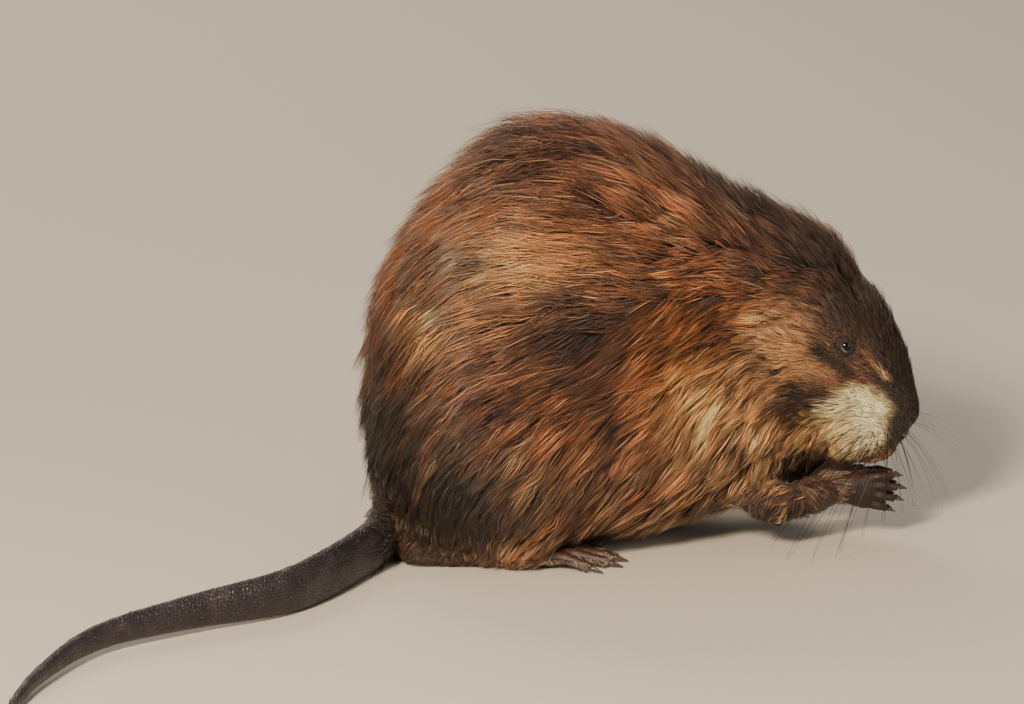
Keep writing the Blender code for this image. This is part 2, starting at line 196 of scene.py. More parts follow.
# %% [markdown]
# ## Finishes
# Colours are written as sRGB hex, as they are read off a screen, and one function turns them to
# the linear values that light is worked out in. Another adds a node with its settings and its
# links, so that a material reads as a short list.

# %% Colour and node helpers


def linear(hex_colour):
    """An sRGB hex colour as linear red, green and blue."""
    parts = [int(hex_colour[i : i + 2], 16) / 255 for i in (1, 3, 5)]
    return tuple(c / 12.92 if c < 0.04045 else ((c + 0.055) / 1.055) ** 2.4 for c in parts)


def tinted(colours, share, shade):
    """The colours, each drawn toward one hex colour by its own share."""
    return colours + share[:, None] * (np.array(linear(shade)) - colours)


def dress(tree, node, sockets):
    """Gives each named socket of a node its value, or links an output to it."""
    for name, value in sockets.items():
        if isinstance(value, bpy.types.NodeSocket):
            tree.links.new(value, node.inputs[name])
        else:
            node.inputs[name].default_value = value


def add(tree, kind, sockets=None, **settings):
    """Adds a node. settings are its own; sockets take a value, or an output to link."""
    made = tree.nodes.new(kind)
    for name, value in settings.items():
        setattr(made, name, value)
    dress(tree, made, sockets or {})
    return made


def material(name):
    """A new material with its node tree and its Principled shader."""
    made = bpy.data.materials.new(name)
    made.use_nodes = True
    return made, made.node_tree, made.node_tree.nodes["Principled BSDF"]


def pattern(tree, kind, size, sockets=None, **settings):
    """A noise or cell texture fixed to the object, with features about size mm wide."""
    place = add(tree, "ShaderNodeTexCoord").outputs["Object"]
    sockets = {"Vector": place, "Scale": 1 / (size * MM), **(sockets or {})}
    return add(tree, f"ShaderNodeTex{kind}", sockets, **settings)


def spread(tree, value, low, high, start=0.3, end=0.7):
    """A texture's values from start to end, stretched over low to high."""
    limits = {"From Min": start, "From Max": end, "To Min": low, "To Max": high}
    return add(tree, "ShaderNodeMapRange", {"Value": value, **limits}).outputs["Result"]


def carried(tree, name):
    """The colour that the mesh carries in that attribute."""
    return add(tree, "ShaderNodeAttribute", attribute_name=name).outputs["Color"]


def toned(tree, colour, value):
    """The colour, made lighter or darker by a value round one."""
    sockets = {"Color": colour, "Value": value}
    return add(tree, "ShaderNodeHueSaturation", sockets).outputs["Color"]


def relief(tree, height, strength, depth):
    """Bump for relief about depth mm deep."""
    sockets = {"Height": height, "Strength": strength, "Distance": depth * MM}
    return add(tree, "ShaderNodeBump", sockets).outputs["Normal"]


def ramp(tree, factor, stops):
    """Colours at places along a texture's values, which aren't settings that add can reach."""
    made = add(tree, "ShaderNodeValToRGB", {"Fac": factor})
    while len(made.color_ramp.elements) < len(stops):
        made.color_ramp.elements.new(1)
    for element, (position, colour) in zip(made.color_ramp.elements, stops):
        element.position = position
        element.color = (*linear(colour), 1)
    return made.outputs["Color"]


# %% [markdown]
# Fur is keratin: each hair is a scaly shaft with a soft shine along it, dark at the root and
# warm at the tip. Its colour changes from hair to hair, so it is carried by each tuft in an
# attribute, and the material adds the fine streaks within a tuft. Guard hairs that have been
# groomed with oil shine a little; the face's short hair and the damp skirt use the same finish.

# %% Fur material
fur, tree, shader = material("guard_hair_keratin")
# A guard hair is 0.1 mm thick, too fine to show, so the streaks are drawn 0.5 mm wide.
streak = pattern(tree, "Noise", 0.5, {"Detail": 2.0}).outputs["Fac"]
streaked = toned(tree, carried(tree, "coat_colour"), spread(tree, streak, 0.78, 1.2))
dress(
    tree,
    shader,
    {
        "Base Color": streaked,
        "Roughness": spread(tree, streak, 0.28, 0.46),
        "IOR": 1.55,
        "Specular IOR Level": 0.42,
        "Sheen Weight": 0.12,
        "Sheen Roughness": 0.4,
    },
)

# %% [markdown]
# Under the guard hairs is a felt of underfur so dense that water never reaches the skin. Seen
# between the tufts it is a dull, darker version of the coat, with a fine nap. A stretched noise
# for the nap and a coarser one for the damp clumps are enough, as bump.

# %% Underfur material
underfur, tree, shader = material("underfur_felt")
nap = pattern(tree, "Noise", 0.7, {"Detail": 4.0, "Roughness": 0.65}).outputs["Fac"]
felted = toned(tree, carried(tree, "skin_colour"), spread(tree, nap, 0.62, 1.25))
felt = relief(tree, nap, 0.5, 0.3)
dress(
    tree,
    shader,
    {"Base Color": felted, "Normal": felt, "Roughness": 0.72, "Sheen Weight": 0.1},
)

# %% [markdown]
# Naked skin covers the palms, the digits and the tip of the nose. It is granular, folded across
# the joints, and moist enough to shine. The nose is the wettest and nearly black; the paws are
# brown-pink, with painted light on their tops and painted shade in the grooves of their scutes.

# %% Nose and paw skin
nose_skin, tree, shader = material("moist_nose_leather")
# The nose pad is pebbled with bumps about 0.35 mm across.
pebble = pattern(tree, "Voronoi", 0.35, feature="SMOOTH_F1").outputs["Distance"]
blush = pattern(tree, "Noise", 2.5, {"Detail": 3.0}).outputs["Fac"]
blushing = toned(tree, carried(tree, "skin_colour"), spread(tree, blush, 0.75, 1.25))
dress(
    tree,
    shader,
    {"Base Color": blushing, "Normal": relief(tree, pebble, 0.45, 0.12), "Roughness": 0.4},
)

paw_skin, tree, shader = material("bare_paw_skin")
# The scutes on a digit are about 0.7 mm apart, and the grain between them 0.25 mm.
scute = pattern(tree, "Voronoi", 0.7, feature="DISTANCE_TO_EDGE").outputs["Distance"]
grain = pattern(tree, "Noise", 0.25, {"Detail": 2.0}).outputs["Fac"]
# Painted shade: the grooves between the scutes are drawn darker.
crease = spread(tree, scute, 0.55, 1.08, 0, 0.12)
rough = add(tree, "ShaderNodeMath", {0: crease, 1: grain}, operation="ADD").outputs["Value"]
dress(
    tree,
    shader,
    {
        "Base Color": toned(tree, carried(tree, "skin_colour"), crease),
        "Normal": relief(tree, rough, 0.5, 0.12),
        "Roughness": 0.42,
        "Subsurface Weight": 0.08,
        "Subsurface Radius": (1.2 * MM, 0.5 * MM, 0.3 * MM),
        "Subsurface Scale": 1.0,
    },
)

# %% [markdown]
# The tail is flattened from side to side, nearly bare, and covered in small round scales set in
# rings, each about 1.3 mm across, with a few stiff hairs between them. It is near black, and its
# scales are painted paler on their crowns and darker in the grooves, as painted light and shade.

# %% Tail scale material
tail_scale, tree, shader = material("tail_scale_keratin")
ring = {"Randomness": 0.7}
scale_edge = pattern(tree, "Voronoi", 1.3, ring, feature="DISTANCE_TO_EDGE")
scale_rise = spread(tree, scale_edge.outputs["Distance"], 0, 1, 0, 0.22)
mottle = pattern(tree, "Noise", 9, {"Detail": 3.0}).outputs["Fac"]
mottled = ramp(tree, mottle, [(0.3, "#1E1A1D"), (0.55, "#2E272B"), (0.75, "#453A3F")])
# Painted light and shade: each scale's crown is drawn paler and the groove round it darker.
dress(
    tree,
    shader,
    {
        "Base Color": toned(tree, mottled, spread(tree, scale_rise, 0.45, 1.2, 0, 1)),
        "Normal": relief(tree, scale_rise, 0.8, 0.25),
        "Roughness": 0.42,
    },
)

# %% [markdown]
# Claws are solid horn: brown at the root, paler and a little see-through at the point, with
# fine growth lines. Whiskers are the same stuff drawn out thin, dark at the root.

# %% Horn and whisker materials
horn, tree, shader = material("claw_horn")
growth = pattern(tree, "Noise", 0.6, {"Detail": 3.0}).outputs["Fac"]
grown_horn = ramp(tree, growth, [(0.3, "#2E231C"), (0.6, "#4F3F34"), (0.8, "#7A6756")])
lines_of_growth = relief(tree, growth, 0.25, 0.05)
dress(
    tree,
    shader,
    {"Base Color": grown_horn, "Normal": lines_of_growth, "Roughness": 0.28, "IOR": 1.54},
)

whisker_keratin, tree, shader = material("whisker_keratin")
whisker_tone = carried(tree, "coat_colour")
dress(tree, shader, {"Base Color": whisker_tone, "Roughness": 0.3, "IOR": 1.55})

# %% [markdown]
# A muskrat's eye is a bead: the iris is so dark that it reads as black with the pupil, under a
# clear wet cornea. The dark brown shows only as a soft ring where light enters.

# %% Eye material
eye_gloss, tree, shader = material("wet_cornea_over_dark_iris")
eye_tone = carried(tree, "skin_colour")
dress(tree, shader, {"Base Color": eye_tone, "Roughness": 0.06, "IOR": 1.38})
print("materials", len(bpy.data.materials))

# %% [markdown]
# ## Floor and light
# The animal was lit by a low warm sun behind the camera's left shoulder. A studio copies that
# with one small strong lamp there, so that the locks cast edges, a weak wide one on the right,
# a soft one behind to lift the outline off the paper, and pale air all round.

# %% Floor, lamps and air
bm = bmesh.new()
bmesh.ops.create_grid(bm, x_segments=2, y_segments=2, size=3)
floor = placed("floor", mesh_from(bm, "floor"))
paper, tree, shader = material("matt_studio_paper")
tooth = pattern(tree, "Noise", 10 / 3).outputs["Fac"]
paper_bump = add(tree, "ShaderNodeBump", {"Height": tooth, "Strength": 0.02})
dress(
    tree,
    shader,
    {
        "Normal": paper_bump.outputs["Normal"],
        "Base Color": (*linear("#CFC8BC"), 1),
        "Roughness": 0.9,
    },
)
floor.data.materials.append(paper)


def lamp(name, spot, size, power, colour):
    """A square soft lamp aimed at the middle of the animal."""
    data = bpy.data.lights.new(name, "AREA")
    data.size = size
    data.energy = power
    data.color = linear(colour)
    obj = placed(name, data)
    obj.location = spot
    obj.rotation_euler = (VIEW_MIDDLE - Vector(spot)).to_track_quat("-Z", "Y").to_euler()


lamp("low_sun", (-0.7, -1.25, 0.9), 0.28, 46, "#FFE8CC")
lamp("fill", (1.2, -1.3, 0.6), 0.9, 7, "#FFF1DC")
lamp("rim", (-0.3, 1.3, 1.1), 0.8, 12, "#FFEBD2")
air = bpy.data.worlds.new("air")
bpy.context.scene.world = air
air.use_nodes = True
sky = air.node_tree.nodes["Background"]
dress(air.node_tree, sky, {"Color": (*linear("#E9ECF2"), 1), "Strength": 0.3})

# %% [markdown]
# ## What the coat does where
# A coat is long on the back, short on the face, and lies back and down from the nose. These
# tables say so at named places: where it is in millimetres, which way the hair lies, how long
# it is, how deep the coat stands over the skin, and how far its tips lift. Everywhere else is
# blended from the nearest places, and the right side's places are mirrored to the left.

# %% Coat places on the body, in the row's frame
# name: (place, lie, length, depth, lift)
BODY_PLACES = {
    "crest": ((-20, 0, 152), (-1, 0, 0.15), 24, 9, 1.55),
    "withers": ((15, 0, 143), (-1, 0, 0.3), 22, 8, 1.35),
    "nape": ((45, -3, 122), (-0.9, 0, 0.4), 18, 7, 1.4),
    "rump_top": ((-60, 0, 135), (-0.85, 0, -0.5), 24, 9, 1.3),
    "rump_rear": ((-93, 0, 80), (-0.3, 0, -1), 24, 9, 1.0),
    "rump_low": ((-92, -10, 35), (-0.2, 0, -1), 22, 8, 1.0),
    "tail_root": ((-85, -12, 22), (-0.8, -0.6, -0.2), 13, 5, 0.9),
    "upper_flank": ((-8, -45, 122), (-0.87, -0.1, 0.3), 23, 9, 1.0),
    "mid_flank": ((-40, -52, 105), (-1, 0, -0.05), 24, 9, 1.0),
    "rear_flank": ((-72, -40, 95), (-0.8, 0, -0.55), 24, 9, 1.0),
    "far_rear_flank": ((-85, -30, 75), (-0.5, 0.2, -0.83), 24, 9, 1.0),
    "side": ((-20, -60, 75), (-0.85, 0, -0.45), 23, 9, 0.95),
    "thigh": ((-42, -65, 40), (-0.65, 0, -0.75), 20, 8, 0.95),
    "thigh_low": ((-50, -58, 15), (-0.5, 0, -0.85), 17, 7, 0.95),
    "shoulder": ((22, -48, 80), (-0.9, 0, -0.4), 20, 8, 0.95),
    "upper_arm": ((25, -48, 45), (-0.8, 0, -0.6), 19, 7, 1.0),
    "chest_side": ((40, -38, 30), (-0.72, 0, -0.68), 17, 6, 1.0),
    "chest_front": ((55, -8, 28), (-0.6, 0, -0.8), 14, 5, 1.0),
    "belly_side": ((-5, -52, 22), (-0.75, 0, -0.6), 18, 6, 1.0),
    "belly": ((-10, 0, 0), (-1, 0, 0), 8, 2.5, 0.8),
    "chest_underside": ((28, -5, 8), (-1, 0, -0.1), 11, 4.5, 0.9),
    "elbow": ((50, -38, 16), (-0.5, 0, -0.8), 12, 4, 1.0),
    "wrist": ((68, -29, 20), (0.6, 0.1, -0.5), 5, 1.6, 1.0),
    "left_elbow": ((51, 17, 16), (-0.5, 0, -0.8), 12, 4, 1.0),
    "left_wrist": ((71, -8.5, 19), (0.6, 0, -0.5), 5, 1.6, 1.0),
    "ankle": ((-60, -46, 10), (0.2, 0, -1), 7, 3, 0.9),
}
ONE_SIDED = {"elbow", "wrist", "left_elbow", "left_wrist"}

# %% Coat places on the head, in the head's frame
HEAD_PLACES = {
    "nose_top": ((44, 0, 12), (-1, 0, 0.35), 3, 0.8, 1.0),
    "nose_side": ((47, -8, 0), (-0.9, -0.2, -0.3), 2.6, 0.6, 1.0),
    "bridge": ((30, 0, 19), (-1, 0, 0.4), 5.5, 1.8, 1.0),
    "forehead": ((12, 0, 29), (-1, 0, 0.25), 10, 3.5, 1.4),
    "crown": ((-8, 0, 33), (-1, 0, 0.1), 14, 5, 1.5),
    "brow": ((12, -17, 21), (-1, 0, 0.2), 5.5, 2.0, 0.9),
    "eye": ((10.6, -18, 14), (-1, 0, -0.05), 2.6, 1.1, 0.8),
    "below_eye": ((12, -20, 6), (-1, 0, -0.35), 4.5, 1.9, 0.9),
    "temple": ((0, -25, 12), (-1, 0, -0.2), 8, 3, 0.9),
    "ear_front": ((-3, -27, 0), (-0.85, 0, -0.5), 6.5, 2.2, 0.9),
    "behind_ear": ((-20, -30, 0), (-0.8, 0, -0.6), 14, 5.5, 1.0),
    "cheek": ((18, -23, -8), (-0.85, 0, -0.5), 7.5, 3.2, 1.0),
    "jowl": ((22, -17, -22), (-0.8, 0.3, -0.5), 8, 3.2, 1.0),
    "whisker_pad": ((40, -13, -4), (-0.75, 0, -0.65), 3.2, 1.3, 0.9),
    "lip": ((42, -9, -14), (-0.55, 0, -0.85), 4.5, 1.5, 1.0),
    "muzzle_side": ((34, -13, 5), (-1, 0, -0.15), 4, 1.5, 0.9),
    "chin": ((38, 0, -22), (-0.4, 0, -0.9), 7, 0.7, 3.4),
    "throat": ((14, 0, -27), (-0.5, 0, -0.85), 12, 2.6, 2.4),
    "side_of_neck": ((-25, -32, -15), (-0.75, 0, -0.6), 17, 7, 1.0),
}
# How far a place reaches, and the core round it where it rules alone, in mm.
BODY_REACH, HEAD_REACH, PLACE_CORE = 30.0, 13.0, 3.0
POINTS_AT_ONCE = 20000


def mirrored(point):
    return (point[0], -point[1], point[2])


def gathered():
    """Every place as arrays in the row's frame: spots, lies, the three numbers, and reaches."""
    rows = []
    for places, reach, axes, origin in (
        (BODY_PLACES, BODY_REACH, np.eye(3), np.zeros(3)),
        (HEAD_PLACES, HEAD_REACH, head_axes, head_origin),
    ):
        for name, (spot, lie, *numbers) in places.items():
            one_sided = name in ONE_SIDED or not spot[1]
            for side in (tuple,) if one_sided else (tuple, mirrored):
                there = np.array(side(spot), float) @ axes + origin
                lie_there = unit(np.array(side(lie), float)) @ axes
                rows.append((there, lie_there, numbers, reach))
    return tuple(np.array(column, float) for column in zip(*rows))


place_spots, place_lies, place_numbers, place_reaches = gathered()
print("coat places", len(place_spots))


def coat_at(points):
    """(lie, length, depth, lift) of the coat at each point, blended from the named places."""
    lies, numbers = [], []
    for part in np.array_split(points, max(1, len(points) // POINTS_AT_ONCE)):
        apart = ((part[:, None, :] - place_spots[None]) ** 2).sum(-1)
        weight = (place_reaches**2 / (apart + PLACE_CORE**2)) ** 2
        weight /= weight.sum(1, keepdims=True)
        lies.append(weight @ place_lies)
        numbers.append(weight @ place_numbers)
    numbers = np.concatenate(numbers)
    return np.concatenate(lies), numbers[:, 0], numbers[:, 1], numbers[:, 2]


# %% [markdown]
# ## Markings, with painted light and shade
# The same markings colour the skin and every tuft. The coat starts as russet, and soft-edged
# patches are laid over it in turn, each an ellipsoid in the frame of the body or of the head.
# Some patches are painted light and shade, not the coat's own colour: sunlit glows and
# highlights on the flank, rump and arm, and painted shade on the low rump, haunch, thigh, hip,
# low flank, elbow, forearm, throat, jaw, behind the eye and at the ear. The face has the
# sharpest edges: cream lips against a dark bridge and a dark smudge round the eye.

# %% Markings, painted light and shade as patches
BASE_COLOUR = "#7E4D31"
# name: (frame, centre, radii, softness, colour)
PATCHES = {
    "face": ("head", (16, 0, 4), (44, 44, 34), 0.3, "#6E4A33"),
    # Painted sunlight and a painted grey sheen: the next five lighten the sunlit flank and rump.
    "upper_flank_painted_sunlight": ("body", (-48, -52, 104), (34, 30, 20), 0.7, "#A8744A"),
    "rear_painted_sunlight": ("body", (-70, -38, 92), (22, 34, 22), 0.6, "#946340"),
    "rear_painted_highlight": ("body", (-76, -36, 82), (10, 18, 12), 0.8, "#BC8957"),
    "flank_painted_highlight": ("body", (-54, -42, 108), (17, 22, 8), 0.8, "#C4905C"),
    "flank_painted_sheen": ("body", (-70, -33, 107), (6, 16, 5), 0.9, "#8A7062"),
    "haunch_shade": ("body", (-21, -60, 84), (27, 26, 21), 0.6, "#351F17"),
    "thigh_shade": ("body", (-45, -62, 62), (28, 24, 13), 0.8, "#583422"),
    "shoulder_glow": ("body", (18, -50, 84), (26, 24, 26), 0.7, "#75441F"),
    # Painted highlight: sunlit damp locks on the upper arm.
    "arm_painted_highlight": ("body", (26, -50, 54), (20, 22, 14), 0.8, "#C8955F"),
    "back_band": ("body", (-6, 0, 154), (74, 42, 27), 0.5, "#63402F"),
    "nape_band": ("body", (48, -4, 122), (40, 34, 27), 0.6, "#33201A"),
    # Dark damp locks low on the rump, deepened with painted shade.
    "rump_skirt_damp_and_shade": ("body", (-86, 0, 24), (26, 66, 40), 0.6, "#1A0D07"),
    "thigh_low": ("body", (-34, -60, 26), (34, 22, 22), 0.7, "#7C5035"),
    "hip_shade": ("body", (-68, -50, 22), (24, 34, 20), 0.7, "#24110A"),
    # Painted shade on the low flank.
    "low_flank_painted_shade": ("body", (-4, -56, 32), (22, 20, 18), 0.8, "#6E432B"),
    "chest": ("body", (42, -30, 32), (30, 40, 28), 0.6, "#B5845A"),
    "belly": ("body", (-10, 0, -4), (80, 46, 20), 0.5, "#8C735C"),
    "forearms": ("body", (64, -18, 19), (16, 22, 9), 0.4, "#6A4634"),
    # Painted shadow on the throat under the bowed head.
    "throat": ("head", (14, 0, -27), (18, 26, 11), 0.5, "#3A2116"),
    "cheek_tan": ("head", (-4, -29, 1), (15, 14, 12), 0.7, "#C89565"),
    # Painted shadow in the corner of the jaw.
    "jaw_painted_shadow": ("head", (13.5, -26, -14), (10.5, 15, 12), 0.5, "#2A1208"),
    "brow_band": ("head", (0, 0, 30), (50, 26, 23), 0.5, "#33211A"),
    "lip_cream": ("head", (31, 0, -6), (13.5, 70, 15), 0.2, "#FFF1BE"),
    "lip_buff": ("head", (26, -13, -17), (11, 14, 7), 0.9, "#D39A5C"),
    "bridge": ("head", (34, 0, 19), (24, 22, 11), 0.2, "#2B1D15"),
    "nose_surround": ("head", (48.5, 0, 5), (10.5, 26, 10.5), 0.22, "#241812"),
    # Dark fur behind the eye, deepened with painted shadow.
    "eye_smudge_and_shadow": ("head", (5.0, -23.5, 7.6), (7.5, 7, 3.6), 0.7, "#231510"),
    "eye_streak": ("head", (13.5, -19, 8.3), (7, 6, 2.4), 0.5, "#3A251A"),
    "eye_ring": ("head", (10.6, -18, 14.0), (4.6, 5, 4.4), 0.4, "#3B2920"),
    "streak_upper": ("head", (17.6, -16.0, 17.4), (2.2, 4, 1.0), 0.9, "#8F6A44"),
    "streak_middle": ("head", (22.4, -15.0, 16.0), (2.2, 4, 1.1), 0.9, "#B48B5C"),
    "streak_lower": ("head", (27.2, -13.5, 15.2), (2.4, 4, 1.1), 0.9, "#C6A474"),
    # Painted shadow: three dark slits between the fur clumps at the ear's rear edge.
    "ear_shadow_slit_rear": ("head", (-15.5, -38, -4.5), (2.4, 6, 1.3), 0.4, "#1D130D"),
    "ear_shadow_slit_middle": ("head", (-9, -34, -6.5), (2.6, 6, 1.2), 0.4, "#1D130D"),
    "ear_shadow_slit_front": ("head", (-2.2, -29.9, -8.2), (2.4, 6, 1.1), 0.4, "#1D130D"),
    "elbow_shade": ("body", (47, -36, 12), (24, 20, 14), 0.6, "#4E352A"),
    "forearm_shade": ("body", (62, -20, 18), (20, 24, 10), 0.5, "#452E23"),
}


def marked(points):
    """The coat's colour at each point, painted light and shade included, as linear RGB."""
    head_points = in_head(points)
    colour = np.tile(linear(BASE_COLOUR), (len(points), 1))
    edge = 0.09 * ripple(points, 5, 3) + 0.06 * ripple(points, 2.2, 4)
    for where, centre, radii, softness, shade in PATCHES.values():
        local = points if where == "body" else head_points
        reached = np.full(len(points), 99.0)
        for side in {tuple(centre), mirrored(centre)}:
            far = np.linalg.norm((local - np.array(side)) / np.array(radii), axis=1)
            reached = np.minimum(reached, far + edge)
        share = 1 - eased(1 - softness, 1 + softness, reached)
        colour = tinted(colour, share, shade)
    return colour


print("markings", len(PATCHES))

# %% [markdown]
# ## The skin
# One skin stands for the trunk, neck, head and legs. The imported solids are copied, each a hair
# larger so that neighbours overlap, and a voxel remesh melts them into one closed surface.
# Smoothing takes the facets off it. Then every point moves inwards by the depth of the coat
# there, and a second, finer remesh clears any folds that this left.

# %% Meshes as arrays


def read(mesh):
    """(points in mm, edges, triangles) of a mesh."""
    mesh.calc_loop_triangles()
    points = np.empty(len(mesh.vertices) * 3, np.float32)
    mesh.vertices.foreach_get("co", points)
    edges = np.empty(len(mesh.edges) * 2, np.int32)
    mesh.edges.foreach_get("vertices", edges)
    triangles = np.empty(len(mesh.loop_triangles) * 3, np.int32)
    mesh.loop_triangles.foreach_get("vertices", triangles)
    return (
        points.reshape(-1, 3).astype(float) / MM,
        edges.reshape(-1, 2),
        triangles.reshape(-1, 3),
    )


def write(mesh, points):
    mesh.vertices.foreach_set("co", (points * MM).astype(np.float32).ravel())
    mesh.update()


def facings(points, triangles):
    """Each triangle's direction, with twice its area as the length."""
    corners = points[triangles]
    return np.cross(corners[:, 1] - corners[:, 0], corners[:, 2] - corners[:, 0])


def normals_of(points, triangles):
    facing = np.repeat(facings(points, triangles), 3, axis=0)
    owner = triangles.ravel()
    return unit(
        np.stack([np.bincount(owner, facing[:, k], len(points)) for k in range(3)], 1)
    )


def tree_of(points, triangles):
    """A search tree over the triangles."""
    return BVHTree.FromPolygons(points.tolist(), triangles.tolist())


def relaxed(points, edges, rounds, weight=1.0, back=0.52):
    """Each point moves toward its neighbours' mean, then a little away, so nothing shrinks."""
    first, second = edges.T
    count = np.bincount(edges.ravel(), minlength=len(points))[:, None]
    for _ in range(rounds):
        for pull in (0.5, -back) if back else (0.5,):
            mean = np.stack(
                [
                    np.bincount(first, points[second, k], len(points))
                    + np.bincount(second, points[first, k], len(points))
                    for k in range(3)
                ],
                1,
            )
            points = points + pull * weight * (mean / np.maximum(count, 1) - points)
    return points


def merged_copy(names, grow):
    """One mesh with merged copies of CAD nodes, each a little larger than it was."""
    bm = bmesh.new()
    for name in names:
        piece = bmesh.new()
        piece.from_mesh(nodes[name].data)
        bmesh.ops.remove_doubles(piece, verts=piece.verts, dist=0.01 * MM)
        piece.normal_update()
        for vert in piece.verts:
            vert.co += vert.normal * grow * MM
        copy = mesh_from(piece, name + "_copy")
        bm.from_mesh(copy)
        bpy.data.meshes.remove(copy)
    return mesh_from(bm, "copies")


def voxel_melt(mesh, voxel):
    """The closed surface round everything in the mesh, in squares about voxel mm wide."""
    obj = placed("melt", mesh)
    melt = obj.modifiers.new("melt", "REMESH")
    melt.mode = "VOXEL"
    melt.voxel_size = voxel * MM
    graph = bpy.context.evaluated_depsgraph_get()
    made = bpy.data.meshes.new_from_object(obj.evaluated_get(graph))
    bpy.data.objects.remove(obj)
    return made


def melted(names, grow, voxel, rounds):
    """CAD nodes melted into one relaxed skin: (mesh, points, edges, triangles)."""
    mesh = voxel_melt(merged_copy(names, grow), voxel)
    points, edges, triangles = read(mesh)
    return mesh, relaxed(points, edges, rounds), edges, triangles


# %% The body's skin, inside the solids by the depth of the coat
# Where a limb is thin the coat takes at most this share of it.
THIN_SHARE = 0.28
INWARD_STEPS = 6
FLESH = ["trunk", "neck", "head", "hindleg_left", "hindleg_right"]
FLESH += ["foreleg_left", "foreleg_right", "eye_left", "eye_right", "ear_left", "ear_right"]
skin_mesh = voxel_melt(merged_copy(FLESH, 0.25), 1.6)
points, edges, triangles = read(skin_mesh)
on_body = eased(-18, -4, -in_head(points)[:, 0])
points = relaxed(points, edges, 22, weight=on_body[:, None] * 0.9 + 0.1)
inward = -normals_of(points, triangles)
tree = tree_of(points, triangles)
across = np.array(
    [
        tree.ray_cast(spot, way)[3] or 99.0
        for spot, way in zip((points + inward).tolist(), inward.tolist())
    ]
)
solid_depth = np.minimum(coat_at(points)[2], THIN_SHARE * across)
for _ in range(INWARD_STEPS):
    points = points - normals_of(points, triangles) * (solid_depth / INWARD_STEPS)[:, None]
    points = relaxed(points, edges, 1)
    points[:, 2] = np.maximum(points[:, 2], 0.5)
write(skin_mesh, points)
skin_mesh = voxel_melt(skin_mesh, 1.55)
points, edges, triangles = read(skin_mesh)
points = relaxed(points, edges, 6)
write(skin_mesh, points)
print("coat depth", solid_depth.min().round(1), "to", solid_depth.max().round(1), "mm")
print("skin", len(triangles), "triangles", points.min(0).round(1), points.max(0).round(1))

# %% [markdown]
# The face needs more points than the back. Its squares are cut in four, those round the eyes and
# the nose twice or three times more, and each cut is smoothed so that the new points round the
# form off instead of lying in the old squares.

# %% Finer squares on the face
LIP_LINE = [(49, 0, -6), (47, 3.5, -10.5), (43, 6.5, -14.5), (37, 9.5, -17), (30, 12, -17.5)]
SPLIT_LINE = [(51, 0, -3), (50, 0, -8)]
MOUTH_LINES = [LIP_LINE, [mirrored(p) for p in LIP_LINE], SPLIT_LINE]
EYE_RADIUS = float((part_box("eye_right")[1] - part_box("eye_right")[0])[0]) / MM / 2


def refined(mesh, wanted):
    """Cuts the squares whose middles are wanted in four, and rounds them."""
    bm = bmesh.new()
    bm.from_mesh(mesh)
    middles = np.array([f.calc_center_median() for f in bm.faces]) / MM
    chosen = wanted(middles)
    edges = {e for f, take in zip(bm.faces, chosen) if take for e in f.edges}
    bmesh.ops.subdivide_edges(bm, edges=list(edges), cuts=1, use_grid_fill=True)
    bm.to_mesh(mesh)
    bm.free()
    points, edges, _ = read(mesh)
    points = relaxed(points, edges, 3, weight=wanted(points)[:, None] * 0.8)
    write(mesh, points)
    return mesh


def within(points, centre, reach):
    return np.linalg.norm(points - centre, axis=1) < reach


def near_eyes(points, reach):
    return within(points, left_eye, reach) | within(points, right_eye, reach)


def near_line(points, line):
    """Distance from each point to the nearest stretch of a line of points."""
    nearest = np.full(len(points), 99.0)
    for start, end in zip(line[:-1], line[1:]):
        start, run = np.array(start), np.array(end) - np.array(start)
        share = np.clip((points - start) @ run / (run @ run), 0, 1)
        gap = np.linalg.norm(points - (start + share[:, None] * run), axis=1)
        nearest = np.minimum(nearest, gap)
    return nearest


def from_mouth(points):
    """Distance from each point to the nearest of the mouth's lines."""
    local = in_head(points)
    return np.min([near_line(local, line) for line in MOUTH_LINES], 0)


FACE_MIDDLE = from_head((20, 0, -1))
refined(skin_mesh, lambda p: within(p, FACE_MIDDLE, 31))
refined(
    skin_mesh, lambda p: near_eyes(p, 9) | within(p, nose_centre, 10) | (from_mouth(p) < 3)
)
refined(skin_mesh, lambda p: near_eyes(p, 6.5) | within(p, nose_centre, 6))
refined(skin_mesh, lambda p: near_eyes(p, 5.2))
points, edges, triangles = read(skin_mesh)
print("skin with a fine face", len(triangles), "triangles, eye radius", round(EYE_RADIUS, 2))

# %% [markdown]
# The lids are part of that skin. Round each eye the skin is drawn to the eyeball: inside the
# opening it dives behind the ball, at the edge it rolls over a rounded rim, and outside it
# eases back to the cheek and brow. The opening is a round almond that looks out, a little
# forward and a little up, and the upper lid has a shallow fold.

# %% Lids
OPEN_ALONG, OPEN_ACROSS = math.radians(35.5), math.radians(29.5)
LID_ROUND = 0.42
LOOK = (0.16, 0.93, 0.3)


def eye_frame(side):
    """(centre, forward, up, outward) of the eye on that side, 1 for left and -1 for right."""
    outward = unit(np.array((LOOK[0], side * LOOK[1], LOOK[2]))) @ head_axes
    forward = unit(head_fore - (head_fore @ outward) * outward)
    upward = np.cross(outward, forward) * -side
    return (left_eye if side > 0 else right_eye), forward, upward, outward


def past_lid(points, side):
    """(angle past the lid's edge in degrees, how far up it is from -1 to 1, distance)."""
    centre, forward, upward, outward = eye_frame(side)
    away = points - centre
    distance = np.linalg.norm(away, axis=1)
    along, up, out = (away @ axis / distance for axis in (forward, upward, outward))
    turned = np.arccos(np.clip(out, -1, 1))
    flat = np.maximum(np.hypot(along, up), 1e-6)
    corner = 1 + 0.1 * np.abs(along / flat) ** 6
    reach = corner / np.sqrt((along / flat / OPEN_ALONG) ** 2 + (up / flat / OPEN_ACROSS) ** 2)
    return np.degrees(turned - reach), up / flat, distance


